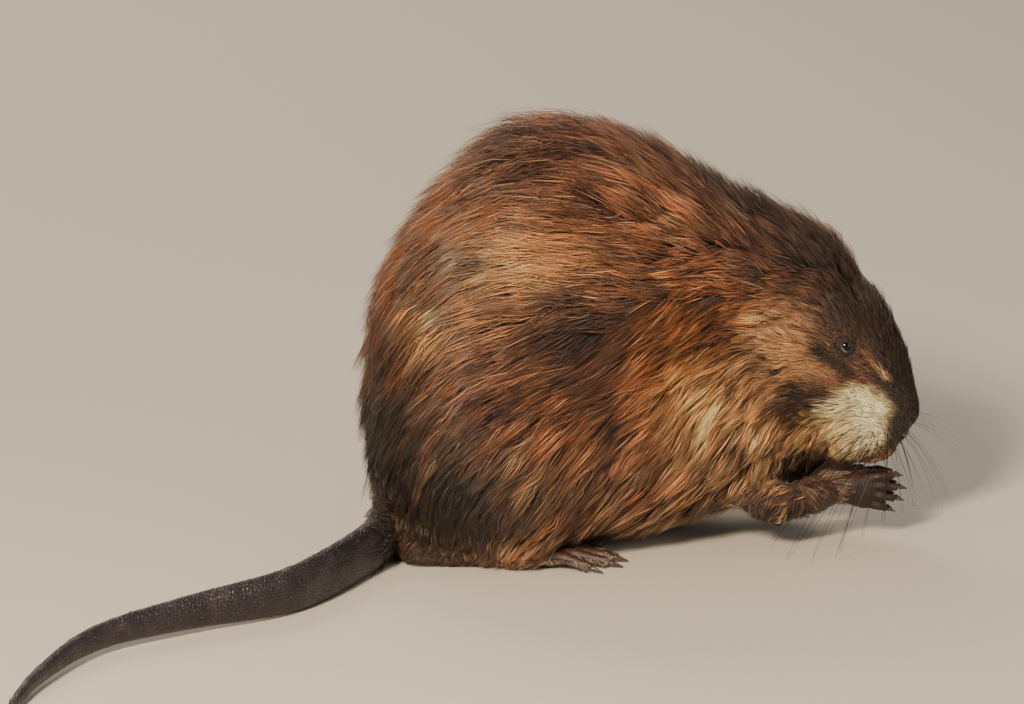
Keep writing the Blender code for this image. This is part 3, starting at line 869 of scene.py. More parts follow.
lid_edge, lower_lid_highlight = np.zeros(len(points)), np.zeros(len(points))
for side in (1, -1):
    centre = eye_frame(side)[0]
    past, height, distance = past_lid(points, side)
    rim = EYE_RADIUS + LID_ROUND * eased(-7, 5, past)
    rim -= 1.0 * (1 - eased(-13, -5, past))
    fold = -0.22 * np.exp(-(((past - 21) / 5) ** 2)) * eased(0.1, 0.7, height)
    bag = 0.16 * np.exp(-(((past - 15) / 6) ** 2)) * eased(0.1, 0.7, -height)
    blend = eased(9, 44, past)
    near = distance < EYE_RADIUS + 7
    wanted = np.where(near & (past < 60), rim * (1 - blend) + distance * blend, distance)
    wanted = wanted + np.where(near, fold + bag, 0)
    points = centre + (points - centre) * (wanted / distance)[:, None]
    lid_edge = np.maximum(lid_edge, np.where(near, 1 - eased(5, 13, past), 0))
    # Painted highlight: a pale crescent along the moist lower lid, where it catches the light.
    painted_glint = np.exp(-(((past + 1.5) / 3.0) ** 2)) * eased(0.5, 0.95, -height)
    lower_lid_highlight = np.maximum(lower_lid_highlight, np.where(near, painted_glint, 0))
write(skin_mesh, points)
print("lid rims", int((lid_edge > 0.5).sum()), "points")

# %% [markdown]
# Below the nose the lip is split by a short groove, and the mouth's line runs back from it under
# the whisker pad. Both are drawn as shallow grooves along a few named points, on both sides.

# %% Lip line and the split below the nose
GROOVE_WIDE, GROOVE_DEEP = 0.8, 0.7
groove = GROOVE_DEEP * np.exp(-((from_mouth(points) / GROOVE_WIDE) ** 2))
points = points - normals_of(points, triangles) * groove[:, None]
points[:, 2] = np.maximum(points[:, 2], 0.4)
write(skin_mesh, points)
print("deepest groove", round(groove.max(), 2), "mm")

# %% [markdown]
# The skin's colour is the coat's markings, duller and darker on the body, where it is underfur
# in shadow, and nearly the full colour on the face, where the fur is so short that it is mostly
# the skin's own nap. The lids are bare and dark, with a painted highlight along the moist edge
# below the eye.

# %% Paint the skin
def paint(mesh, name, colours):
    """Stores a linear colour for each point of the mesh."""
    layer = mesh.color_attributes.new(name, "FLOAT_COLOR", "POINT")
    full = np.ones((len(colours), 4), np.float32)
    full[:, :3] = colours
    layer.data.foreach_set("color", full.ravel())


def finished(mesh, name, look, slot, *replaced):
    """Makes the mesh a smooth-shaded piece of the animal that stands for CAD nodes."""
    mesh.materials.clear()
    mesh.materials.append(look)
    mesh.shade_smooth()
    obj = placed(name, mesh)
    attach(obj, "root")
    if replaced:
        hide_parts(*replaced)
    return obj


on_face = eased(-8, 12, in_head(points)[:, 0])
skin_colours = marked(points) * (0.3 + 0.6 * on_face)[:, None]
# The lids are painted dark, and the lower lid's edge gets its painted highlight.
for share, shade in ((lid_edge, "#130D0B"), (lower_lid_highlight, "#7D7169")):
    skin_colours = tinted(skin_colours, share, shade)
paint(skin_mesh, "skin_colour", skin_colours)
skin_nodes = ["trunk", "neck", "head", "hindleg_left", "hindleg_right"]
skin_nodes += ["foreleg_left", "foreleg_right"]
finished(skin_mesh, "body_skin", underfur, "body_coat", *skin_nodes)
skin_normals = normals_of(points, triangles)
skin_tree = tree_of(points, triangles)
skin_points, skin_triangles = points, triangles
print("body skin done")

# %% [markdown]
# ## Eyes and nose
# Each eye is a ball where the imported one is, with a slightly fuller cornea at the front, as
# real eyes have. The nose pad is melted finer than the body, and its nostrils are pushed in as
# two commas that open to the sides.

# %% Eyes
for side, name in ((1, "eye_left"), (-1, "eye_right")):
    centre, forward, upward, outward = eye_frame(side)
    bm = bmesh.new()
    bmesh.ops.create_uvsphere(bm, u_segments=48, v_segments=32, radius=EYE_RADIUS * MM)
    turn = Vector((0, 0, 1)).rotation_difference(Vector(outward)).to_matrix()
    bmesh.ops.rotate(bm, verts=bm.verts, matrix=turn)
    ball = mesh_from(bm, name + "_ball")
    spots = read(ball)[0]
    front = np.degrees(np.arccos(np.clip(unit(spots) @ outward, -1, 1)))
    spots = spots * (1 + 0.035 * (1 - eased(0, 48, front)))[:, None] + centre
    write(ball, spots)
    tone = np.tile(linear("#050404"), (len(spots), 1))
    tone = tinted(tone, eased(24, 34, front), "#1F1410")
    paint(ball, "skin_colour", tinted(tone, eased(62, 74, front), "#5A4A44"))
    finished(ball, name + "_ball", eye_gloss, "eye", name)
print("eyes at", left_eye.round(1), right_eye.round(1))

# %% Nose pad with its nostrils
nose_mesh, points, edges, triangles = melted(["nose"], 0.1, 0.22, 10)
local = in_head(points) - in_head(nose_centre)
normals = normals_of(points, triangles)
hole = np.zeros(len(points))
for side in (1, -1):
    for at, wide, deep in (
        ((1.9, side * 2.4, -0.1), (1.3, 0.9, 0.8), 1.7),
        ((1.6, side * 3.2, 0.0), (1.2, 0.8, 0.7), 1.4),
        ((1.0, side * 3.9, 0.4), (1.3, 1.0, 0.6), 1.6),
    ):
        far = ((local - np.array(at)) / np.array(wide)) ** 2
        hole += deep * np.exp(-far.sum(1))
middle_groove = 0.3 * np.exp(-((local[:, 1] / 0.35) ** 2)) * eased(0.5, -2.0, local[:, 2])
points = points - normals * (hole + middle_groove)[:, None]
points = relaxed(points, edges, 1)
write(nose_mesh, points)
nose_colours = np.tile(linear("#1F1614"), (len(points), 1))
# Painted highlight: a pale pinkish crescent high on each side of the pad, on the wet skin.
rim = np.exp(-(((local[:, 2] - 1.5) / 0.45) ** 2)) * eased(2.0, 3.2, np.abs(local[:, 1]))
nose_colours = tinted(nose_colours, 0.9 * rim, "#A98370")
# Painted shade: the nostrils darken to near-black as deep as they are pushed in.
paint(nose_mesh, "skin_colour", tinted(nose_colours, eased(0.35, 0.9, hole), "#0C0808"))
finished(nose_mesh, "nose_pad", nose_skin, "nose_skin", "nose")
print("nose pad", len(triangles), "triangles")

# %% [markdown]
# ## Ears
# The ears are low round shells that lie back against the head, furred outside and bare in the
# hollow. They are melted at half a millimetre and hollowed a little at the front, and the coat
# later covers their roots.

# %% Ear skins
ear_surfaces = {}
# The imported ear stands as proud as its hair, so its skin is sunk by that much.
EAR_SUNK, HOLLOW_DEEP = 1.7, 1.9
for side, name in ((1, "ear_left"), (-1, "ear_right")):
    ear_mesh, points, edges, triangles = melted([name], 0.1, 0.55, 8)
    ear_middle = in_head(centre_of(name))
    local = in_head(points) - ear_middle
    far = ((local - np.array((3.0, side * 3.0, -0.5))) / np.array((4.0, 5.0, 4.6))) ** 2
    hollow = np.exp(-far.sum(1))
    points = points - normals_of(points, triangles) * (HOLLOW_DEEP * hollow)[:, None]
    points = relaxed(points, edges, 2) - side * EAR_SUNK * head_left
    write(ear_mesh, points)
    # The bare hollow is dark skin, deepened toward its middle with painted shade.
    bare = eased(0.45, 0.9, hollow)
    paint(ear_mesh, "skin_colour", tinted(marked(points) * 0.7, bare, "#2C1C16"))
    finished(ear_mesh, name + "_skin", underfur, "ear_coat", name)
    ear_surfaces[side] = (points, triangles)
    print(name, len(triangles), "triangles")

# %% [markdown]
# ## Hands and feet
# The hands are held up to the mouth, bare and brown, with four long fingers and a thumb too
# small to see. The hind feet are larger, flat on the floor, with a fringe of stiff hair that
# widens each toe into a paddle. Both are melted finely enough to keep every digit apart, and
# their wrists end inside the fur of the legs.

# %% Hand and foot skins
def bare_skin(name, voxel):
    """A finely melted copy of a hand or foot: painted shade in creases, painted light on top."""
    mesh, points, _, triangles = melted([name], 0.05, voxel, 6)
    points[:, 2] = np.maximum(points[:, 2], 0)
    write(mesh, points)
    normals = normals_of(points, triangles)
    colours = np.tile(linear("#21150F"), (len(points), 1))
    # Painted light: skin that faces up is drawn paler, as if lit from above.
    painted_top_light = eased(-0.1, 0.8, normals[:, 2] + 0.25 * ripple(points, 2, 7))
    blotch = 1 - 0.35 * eased(-0.2, 1.0, ripple(points, 3.5, 8))
    paint(mesh, "skin_colour", tinted(colours, 0.75 * painted_top_light, "#4C3528") * blotch[:, None])
    finished(mesh, name + "_skin", paw_skin, "paw_skin", name)
    return points, triangles


limb_surfaces = {}
for limb, voxel in (("forepaw", 0.36), ("hindfoot", 0.6)):
    for name in (f"{limb}_left", f"{limb}_right"):
        limb_surfaces[name] = bare_skin(name, voxel)
        print(name, len(limb_surfaces[name][1]), "triangles")

# %% [markdown]
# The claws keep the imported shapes. Their loose triangles are merged and rounded with one level
# of subdivision, all the claws of a limb in one piece.

# %% Claws
for limb, count in (("fore_claw", 4), ("hind_claw", 5)):
    for side in ("left", "right"):
        names = [f"{limb}_{side}_{i + 1}" for i in range(count)]
        claw_mesh = merged_copy(names, 0)
        claws = finished(claw_mesh, f"{limb}s_{side}", horn, "claw_horn", *names)
        rounder = claws.modifiers.new("rounder", "SUBSURF")
        rounder.levels = rounder.render_levels = 1
        print(claws.name, len(claw_mesh.polygons), "faces")

# %% [markdown]
# ## Tail
# The tail's three solids melt into one tapering blade. Its rings of scales are relief and
# colour in the material, and the stiff hairs between them are grown with the coat.

# %% Tail skin
tail_nodes = ["tail_base", "tail_middle", "tail_tip"]
tail_mesh, points, _, triangles = melted(tail_nodes, 0.25, 0.8, 14)
points[:, 2] = np.maximum(points[:, 2], 0)
write(tail_mesh, points)
finished(tail_mesh, "tail_skin", tail_scale, "tail_scales", *tail_nodes)
tail_surface = (points, triangles)
print("tail skin", len(triangles), "triangles")

# %% [markdown]
# ## The coat
# A muskrat's coat is glossy guard hair over underfur, in locks that lie back along the body.
# Each tuft here is a thin three-sided spike that starts on the skin, follows it for its length
# and rises through the coat's depth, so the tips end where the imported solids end. Neighbouring
# tufts lean together toward a shared tip, as damp hair does, more on the chest and rump than on
# the face.

# %% Roots spread evenly over a surface
def rooted(points, triangles, per_square_mm):
    """Roots on the triangles, that many to each square mm: (spots, normals)."""
    expected = np.linalg.norm(facings(points, triangles), axis=1) / 2 * per_square_mm
    total = np.cumsum(expected)
    count = int(total[-1])
    marks = (np.arange(count) + chance.uniform(0, 1, count)) * total[-1] / count
    chosen = np.minimum(np.searchsorted(total, marks), len(triangles) - 1)
    first, second = chance.uniform(0, 1, (2, count))
    over = first + second > 1
    first[over], second[over] = 1 - first[over], 1 - second[over]
    shares = np.stack([1 - first - second, first, second], 1)[:, :, None]
    smooth = normals_of(points, triangles)
    spots = (points[triangles[chosen]] * shares).sum(1)
    return spots, unit((smooth[triangles[chosen]] * shares).sum(1))


def nearest_on(tree, normals, triangles, points):
    """The nearest place on a surface to each point, and the surface's direction there."""
    found, faces = np.empty_like(points), np.empty(len(points), int)
    for i, spot in enumerate(points.tolist()):
        place, _, face, _ = tree.find_nearest(spot)
        found[i] = place
        faces[i] = face
    return found, unit(normals[triangles[faces]].mean(1))


def level(directions, normals):
    """Directions laid flat on the surface."""
    flat = directions - (directions * normals).sum(-1, keepdims=True) * normals
    return unit(flat)


def turned(directions, normals, angles):
    """Directions turned on the surface by those angles."""
    across = np.cross(normals, directions)
    return np.cos(angles)[:, None] * directions + np.sin(angles)[:, None] * across


# %% Paths of the tufts
def combed(spots, normals, directions, lengths, heights, surface, rings, guide=None):
    """Each tuft's line of points: its root, its rings and its tip, walked along the surface."""
    tree, tree_normals, tree_triangles = surface
    line, here, facing, heading = [spots], spots, normals, directions
    for ring in range(1, rings + 1):
        share = ring / rings
        here, facing = nearest_on(
            tree, tree_normals, tree_triangles, here + heading * (lengths / rings)[:, None]
        )
        wish = heading if guide is None else 0.6 * heading + 0.4 * guide(here)
        heading = level(wish, facing)
        rise = heights * (1 - (1 - share) ** 1.6)
        line.append(here + facing * rise[:, None])
    return np.stack(line, 1)


def clumped(lines, pull, one_in):
    """Draws each tuft toward a neighbour's tip, and returns it with the clump it belongs to."""
    heads = chance.permutation(len(lines))[: max(1, len(lines) // one_in)]
    tree = KDTree(len(heads))
    for i, spot in enumerate(lines[heads, 0].tolist()):
        tree.insert(spot, i)
    tree.balance()
    owner = np.array([tree.find(spot)[1] for spot in lines[:, 0].tolist()])
    shares = np.linspace(0, 1, lines.shape[1]) ** 1.3
    drawn = (pull[:, None] * shares[None])[:, :, None]
    return lines + drawn * (lines[heads][owner] - lines), owner


# %% [markdown]
# The tufts become meshes straight from arrays. The three corners of each ring go round the
# tuft's line, the root is closed, and the last ring closes to the tip. The same arrays give
# each tuft its colour and its patch of the OFBake map, which sits where its root is on an
# unwrap of the animal from its six sides.

# %% Tufts as joined meshes
PATCH = 0.003
MOST_TRIANGLES = 190000


def side_unwrap(spots, normals):
    """Each root's place on a map of the six sides, three across and two up."""
    low, high = np.array(cad_low) / MM, np.array(cad_high) / MM
    axis = np.argmax(np.abs(normals), 1)
    rows = np.arange(len(spots))
    cell = axis * 2 + (normals[rows, axis] > 0)
    share = 0.03 + 0.94 * (spots - low) / (high - low).max()
    first, second = share[rows, (axis + 1) % 3], share[rows, (axis + 2) % 3]
    return np.stack([(cell % 3 + first) / 3, (cell // 3 + second) / 2], 1)


def tuft_faces(rings):
    """The corners of one tuft's faces: its closed root, the sides of its rings and its tip."""
    faces = [(2, 1, 0)]
    for ring in range(rings - 1):
        for i in range(3):
            j, low = (i + 1) % 3, ring * 3
            faces.append((low + i, low + j, low + 3 + j, low + 3 + i))
    last = (rings - 1) * 3
    return faces + [(last + i, last + (i + 1) % 3, last + 3) for i in range(3)]


def lay_map(mesh, corners, places):
    """Puts each corner of the mesh where its point is on the OFBake map."""
    layer = mesh.uv_layers.new(name="OFBake")
    layer.data.foreach_set("uv", places[corners].astype(np.float32).ravel())


def tuft_mesh(name, lines, widths, normals, colours, roots_on_map):
    """One mesh of three-sided spikes. lines is (tufts, rings + 1, 3), colours likewise."""
    count, stops = lines.shape[:2]
    rings = stops - 1
    ahead = unit(np.diff(lines, axis=1))
    ahead = np.concatenate([ahead[:, :1], unit(ahead[:, 1:] + ahead[:, :-1])], 1)
    up = np.broadcast_to(normals[:, None], ahead.shape)
    up = unit(up - (up * ahead).sum(-1, keepdims=True) * ahead + 1e-6)
    across = np.cross(up, ahead)
    taper = np.array([1.0, 0.85, 0.6])[:rings]
    angles = math.radians(90) + np.arange(3) * math.radians(120)
    turn = chance.uniform(-0.5, 0.5, count)[:, None] + angles[None]
    half = (widths / 2)[:, None, None, None] * taper[None, :, None, None]
    ring_points = lines[:, :rings, None, :] + half * (
        np.cos(turn)[:, None, :, None] * across[:, :, None, :]
        + 0.6 * np.sin(turn)[:, None, :, None] * up[:, :, None, :]
    )
    spots = np.concatenate([ring_points.reshape(count, -1, 3), lines[:, rings:]], 1)
    each, faces = rings * 3 + 1, tuft_faces(rings)
    corner_list = np.array([c for face in faces for c in face])
    sizes = np.array([len(face) for face in faces])
    corners = (np.arange(count)[:, None] * each + corner_list[None]).ravel()
    starts = np.concatenate([[0], np.cumsum(np.tile(sizes, count))[:-1]])
    mesh = bpy.data.meshes.new(name)
    mesh.vertices.add(count * each)
    spots[:, :, 2] = np.maximum(spots[:, :, 2], 0.15)
    mesh.vertices.foreach_set("co", (spots * MM).astype(np.float32).ravel())
    mesh.loops.add(len(corners))
    mesh.loops.foreach_set("vertex_index", corners.astype(np.int32))
    mesh.polygons.add(len(starts))
    mesh.polygons.foreach_set("loop_start", starts.astype(np.int32))
    mesh.update(calc_edges=True)
    shades = np.repeat(colours[:, :rings, None], 3, axis=2).reshape(count, -1, 3)
    shades = np.concatenate([shades, colours[:, rings:]], 1)
    paint(mesh, "coat_colour", shades.reshape(-1, 3))
    sides_of = np.tile(np.array([-0.4, 0.4, 0.0]), rings)
    steps = np.repeat(np.arange(rings) / rings - 0.5, 3)
    local = np.stack([np.append(sides_of, 0), np.append(steps, 0.5)], 1) * PATCH
    lay_map(mesh, corners, (roots_on_map[:, None] + local[None]).reshape(-1, 2))
    return mesh


def pieces_of(name, lines, widths, normals, colours, look, slot):
    """Deals the tufts out to as many pieces as keep each under the most triangles."""
    rings = lines.shape[1] - 1
    each = 1 + (rings - 1) * 6 + 3
    parts = max(1, math.ceil(len(lines) * each / MOST_TRIANGLES))
    where = side_unwrap(lines[:, 0], normals)
    for part in range(parts):
        dealt = [a[part::parts] for a in (lines, widths, normals, colours, where)]
        title = f"{name}_{part + 1}" if parts > 1 else name
        finished(tuft_mesh(name, *dealt), title, look, slot)
    print(name, len(lines), "tufts in", parts, "pieces,", len(lines) * each, "triangles")


# %% [markdown]
# Each tuft's colour starts from the markings where it shows. Whole locks are lighter or darker,
# single tufts vary again, some are dark guard hairs and some are gold guard hairs brightened
# as painted sunlight. Every hair is dark at the root, where the underfur hides it, and lightest
# toward the tip.

# %% Colours of the tufts
TUFT_TONE, SMALL_LOCK_TONE, LARGE_LOCK_TONE = 0.2, 0.46, 0.34
DARK_HAIR, GOLDEN_SUNLIT_TIP = 0.3, "#EBC692"
# Damp locks below this height, in mm, show more contrast.
DAMP_BELOW, DRY_ABOVE = 30, 62


def shaded_tufts(lines, owners, dark_share, gold_share, contrast=1.0, root_shade=0.45):
    """A colour for every point of every tuft. owners are its small and its large lock."""
    count, stops = lines.shape[:2]
    seen = 0.4 * lines[:, -2] + 0.6 * lines[:, -1]
    base = marked(seen)
    tone = chance.normal(0, TUFT_TONE, count)
    for owner, varied in zip(owners, (SMALL_LOCK_TONE, LARGE_LOCK_TONE)):
        tone += chance.normal(0, varied, owner.max() + 1)[owner]
    tone += 0.2 * ripple(seen, 22, 12) + 0.2 * ripple(seen, 9, 11)
    low = 1 - eased(DAMP_BELOW, DRY_ABOVE, seen[:, 2])
    chest = low * eased(0, 25, seen[:, 0])
    base = base * np.exp(contrast * (1 + 0.5 * chest) * tone)[:, None]
    lock_kind = chance.uniform(0, 1, owners[0].max() + 1)[owners[0]]
    kind = chance.uniform(0, 1, count)
    dark = kind < dark_share * np.where(lock_kind < 0.2, 4.0, 0.45)
    gold = kind > 1 - gold_share * np.where(lock_kind > 0.84, 4.0, 0.6) * (1 + 2.5 * low)
    base[dark] = base[dark] * DARK_HAIR
    # Gold tufts are golden guard hairs, brightened as painted sunlight, most of all low down.
    warm = 0.62 * np.clip(base[gold].mean(1) / 0.12, 0.15, 1)
    base[gold] = tinted(base[gold], warm, GOLDEN_SUNLIT_TIP)
    root_to_tip = np.interp(
        np.linspace(0, 1, stops), [0, 0.4, 0.8, 1], [root_shade, 0.85, 1.08, 1.2]
    )
    return np.clip(base[:, None] * root_to_tip[None, :, None], 0, 0.95)


# %% How tufts are grown on the body
# Hair longer than LONG_FROM mm is the body's coat. FULLNESS is tufts times their length in mm
# on each square mm, so that long hair is sparser.
LONG_FROM, FULLNESS = 7.5, 42.0
skin_surface = (skin_tree, skin_normals, skin_triangles)
middles = skin_points[skin_triangles].mean(1)
_, hair_length, _, _ = coat_at(middles)
under_belly = eased(0.5, 0.8, -skin_normals[skin_triangles].mean(1)[:, 2]) * (middles[:, 2] < 9)
thick = FULLNESS / hair_length * (1 - 0.6 * under_belly)


def lie_at(points):
    return coat_at(points)[0]


def comb_from_eyes(spots, lies):
    """Parts the hair round each eye, so that it never lies across the lids."""
    for centre in (left_eye, right_eye):
        away = spots - centre
        near = 1 - eased(4.0, 8.0, np.linalg.norm(away, axis=1))
        lies = lies + 0.9 * near[:, None] * unit(away)
    return lies


# What stays bare: mm round the pad's front, the lip line and the eye, and degrees past a lid.
PAD_FRONT = nose_centre + 0.8 * head_fore
PAD_CLEAR, LIP_CLEAR, EYE_CLEAR, LID_CLEAR = 4.9, 0.75, 3, 5


def clear_of_face(lines):
    """True for tufts that don't cross an eye's opening, the nose pad or the lip line."""
    fine = np.linalg.norm(lines - PAD_FRONT, axis=2).min(1) > PAD_CLEAR
    fine &= from_mouth(lines[:, 0]) >= LIP_CLEAR
    for side in (1, -1):
        for stop in range(lines.shape[1]):
            past, _, distance = past_lid(lines[:, stop], side)
            fine &= (past > LID_CLEAR) | (distance > EYE_RADIUS + EYE_CLEAR)
    return fine


# How unruly the coat is: the spread of headings in radians, the share of stray hairs, how much
# of the pull large locks have, and how far a lock rises or sinks, as a share of the depth.
HEADING_SPREAD, STRAYS, LARGE_LOCK_PULL, LOCK_RISE = 0.19, 0.06, 0.6, 0.35


def grown(spots, normals, low, high, pull, small_lock, large_lock):
    """Tufts by the coat's tables, standing between those shares of its depth."""
    lies, lengths, depths, lifts = coat_at(spots)
    lies = comb_from_eyes(spots, lies)
    headings = level(lies, normals)
    sway = 0.16 * ripple(spots, 16, 21) + 0.1 * ripple(spots, 5, 22)
    headings = turned(headings, normals, sway + chance.normal(0, HEADING_SPREAD, len(spots)))
    lengths = lengths * chance.uniform(0.75, 1.2, len(spots))
    heights = depths * lifts * chance.uniform(low, high)
    stray = chance.uniform(0, 1, len(spots)) < STRAYS * lifts**3
    lengths = np.where(stray, lengths * 1.15, lengths)
    heights = np.where(stray, heights + 0.45 * depths * lifts, heights)
    lines = combed(spots, normals, headings, lengths, heights, skin_surface, 2, lie_at)
    drawn = pull(spots)
    lines, small = clumped(lines, drawn, small_lock)
    lines, large = clumped(lines, drawn * LARGE_LOCK_PULL, large_lock)
    rise = chance.uniform(-LOCK_RISE, LOCK_RISE, small.max() + 1)[small] * depths
    share = np.linspace(0, 1, lines.shape[1])[None, :, None]
    lines = lines + share * (rise[:, None] * normals)[:, None]
    return lines, (small, large), lengths


def body_pull(spots):
    """How strongly locks draw together: damp at the chest, the skirt and the low rump."""
    damp = 1 - eased(25, 60, spots[:, 2])
    return 0.62 + 0.25 * damp


# %% [markdown]
# The long coat has two sorts of hair in one set of locks. Bent tufts of a few dozen hairs lie
# low and fill it, and single straight guard hairs, thinner and more often dark, run over them
# to the outline. A guard hair is one closed spike, the cheapest shape there is, so there can
# be very many.

# %% Long coat of the body
spots, normals = rooted(
    skin_points, skin_triangles, np.where(hair_length > LONG_FROM, thick, 0)
)
guard = chance.uniform(0, 1, len(spots)) < 0.5
low, high = np.where(guard, 0.55, 0.3), np.where(guard, 1.05, 0.85)
lines, owners, lengths = grown(spots, normals, low, high, body_pull, 14, 120)
fine = clear_of_face(lines)
for name, kind, dark, gold, width in (
    ("filling_coat", fine & ~guard, 0.1, 0.05, 0.18 + 0.0095 * lengths),
    ("guard_coat", fine & guard, 0.32, 0.12, 0.12 + 0.0055 * lengths),
):
    stops = [0, 2] if name == "guard_coat" else [0, 1, 2]
    kept = lines[kind][:, stops]
    tones = shaded_tufts(kept, [o[kind] for o in owners], dark, gold)
    pieces_of(name, kept, width[kind], normals[kind], tones, fur, "body_coat")

# %% Short hair of the face and forearms
spots, normals = rooted(
    skin_points, skin_triangles, np.where(hair_length > LONG_FROM, 0, thick * 0.5)
)
low, high = np.full(len(spots), 0.5), np.full(len(spots), 1.0)
lines, owners, lengths = grown(
    spots, normals, low, high, lambda p: np.full(len(p), 0.15), 7, 40
)
fine = clear_of_face(lines)
tones = shaded_tufts(lines[fine], [o[fine] for o in owners], 0.05, 0.03, 0.5, 0.8)
width = 0.17 + 0.011 * lengths[fine]
pieces_of("short_coat", lines[fine], width, normals[fine], tones, fur, "head_coat")

# %% [markdown]
# The ears, wrists, feet and tail have sparse hair of their own: a short plush on the ears, pale
# hairs over the wrists, the stiff swimming fringe on the toes, and single bristles between the
# tail's scales. The same helpers grow them on those skins.

# %% Short hair on ears, feet and tail
def plush(name, surface, per_square_mm, heading, length, lift, shade, slot, where=None):
    """Short hair on a small surface, all lying along one heading or a function's."""
    points, triangles = surface
    smooth = normals_of(points, triangles)
    density = np.full(len(triangles), float(per_square_mm))
    if where is not None:
        density *= where(points[triangles].mean(1), smooth[triangles].mean(1))
    spots, normals = rooted(points, triangles, density)
    lies = heading(spots, normals) if callable(heading) else np.tile(heading, (len(spots), 1))
    lies = turned(level(lies, normals), normals, chance.normal(0, 0.2, len(spots)))
    lengths = length * chance.uniform(0.7, 1.2, len(spots))
    heights = lift * chance.uniform(0.6, 1.1, len(spots))
    ground = (tree_of(points, triangles), smooth, triangles)
    lines = combed(spots, normals, lies, lengths, heights, ground, 2)
    lines, owner = clumped(lines, np.full(len(spots), 0.25), 5)
    if shade is None:
        colours = shaded_tufts(lines, [owner, owner], 0.05, 0.05, 0.5)
    else:
        colours = np.tile(linear(shade), (len(spots), 3, 1))
        colours = colours * np.exp(chance.normal(0, 0.25, len(spots)))[:, None, None]
    widths = np.full(len(spots), 0.17 + 0.012 * length)
    pieces_of(name, lines, widths, normals, np.clip(colours, 0, 0.9), fur, slot)


def toe_edge(middles, facing):
    return (np.abs(facing[:, 1]) > 0.55) & (middles[:, 2] < 4.5) & (facing[:, 2] > -0.4)


def outward_and_down(spots, facing):
    return facing * np.array((0.2, 0.6, 0)) + np.array((0.8, 0, -0.7))


def fading(start, end):
    """A share that is 1 where X is before start and falls to 0 at end."""
    return lambda middles, facing: 1 - eased(start, end, middles[:, 0])


back_along_head = -head_fore - 0.45 * head_up
for side, name in ((1, "left"), (-1, "right")):
    ear = ear_surfaces[side]
    plush(f"ear_plush_{name}", ear, 3.0, back_along_head, 6.5, 1.5, None, "ear_coat")
for name in ("left", "right"):
    hand, foot = limb_surfaces[f"forepaw_{name}"], limb_surfaces[f"hindfoot_{name}"]
    wrist_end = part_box(f"forepaw_{name}")[0].x / MM + 9
    near_wrist = fading(wrist_end - 3, wrist_end + 3)
    along_hand = np.array((1.0, 0, 0))
    sleeve = (hand, 1.6, along_hand, 3.2, 0.8, "#A5876B", "leg_coat", near_wrist)
    plush(f"wrist_hair_{name}", *sleeve)
    fringe = (foot, 2.2, outward_and_down, 2.6, 1.2, "#9C8B7A", "paw_skin", toe_edge)
    plush(f"toe_fringe_{name}", *fringe)
    heel_back, toe_tip = (corner.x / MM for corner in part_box(f"hindfoot_{name}"))
    heel_end = heel_back + 0.55 * (toe_tip - heel_back)

    def over_heel(middles, facing, end=heel_end):
        return (1 - eased(end - 12, end, middles[:, 0])) * (facing[:, 2] > -0.5)

    down_heel = np.array((-0.5, 0, -0.6))
    plush(f"heel_hair_{name}", foot, 1.3, down_heel, 8.0, 2.2, "#4A3022", "leg_coat", over_heel)

tail_way = unit(centre_of("tail_tip") - centre_of("tail_base"))
tail_root = np.array((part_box("tail_base")[1].x / MM, 0, 0))
first_way = unit(centre_of("tail_base") - tail_root)


def at_tail_root(middles, facing):
    return 1 - eased(14, 34, tail_root[0] - middles[:, 0])


plush(
    "tail_sleeve", tail_surface, 1.6, first_way, 9.0, 2.0, "#3A2519", "body_coat", at_tail_root
)
plush("tail_bristles", tail_surface, 0.22, tail_way, 2.4, 0.35, "#3A3033", "tail_scales")

# %% [markdown]
# ## Whiskers
# Whiskers are stiff tapering hairs set in rows on the pads beside the nose. Those on the near
# side are dark and droop over the cheek and the hands; those on the far side ahead of the face
# are painted pale grey, as painted light where they catch the sun. Each is a ring of edges
# extruded step by step along a drooping line.

# %% Whiskers
WHISKER_STEPS, WHISKER_SIDES = 9, 5
# (root in the head's frame, first heading in the head's frame, length, droop)
WHISKERS = [
    ((42, 9.5, 3), (0.75, 0.6, 0.15), 30, 7.5),
    ((41, 10.5, 0), (0.62, 0.78, 0.05), 37.5, 13.5),
    ((39, 11.5, -3), (0.45, 0.88, -0.1), 45, 19.5),
    ((37, 12.5, -6), (0.2, 0.92, -0.3), 47.5, 22.5),
    ((43, 9, -1), (0.7, 0.6, -0.2), 27.5, 9),
    ((42, 10, -4), (0.5, 0.75, -0.4), 37.5, 15),
    ((40, 11, -7), (0.25, 0.75, -0.6), 41.25, 16.5),
    ((37, 12, -9), (-0.05, 0.75, -0.6), 42.5, 15),
    ((44, 8, -5), (0.55, 0.5, -0.6), 25, 7.5),
    ((42, 9, -8), (0.3, 0.55, -0.75), 31.25, 9),
    ((39, 10.5, -11), (0.0, 0.6, -0.8), 30, 7.5),
    ((35, 13, -3), (-0.1, 0.95, -0.2), 37.5, 18),
    ((34, 13, -8), (-0.35, 0.75, -0.5), 37.5, 13.5),
    ((44.5, 7, 1), (0.85, 0.45, 0.0), 20, 4.5),
]
# Finer whiskers stand between each of these and the next.
BETWEEN = [
    [(np.array(a) + np.array(b)) / 2 for a, b in zip(first, second)]
    for first, second in zip(WHISKERS[:-1], WHISKERS[1:])
]
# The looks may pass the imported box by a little, so no whisker reaches further ahead than this.
WHISKER_REACH = cad_high.x / MM + 17
THICK, FINE = 0.28, 0.2
# The far whiskers are held forward and a little up, and the near ones hang back.
SWEEPS = {1: (0.5, 0.0, 0.35), -1: (-0.25, 0.0, -0.1)}
# The far side's upper rows, rooted above that height, stand up further.
RAISED, RAISED_ABOVE = 0.55, -2


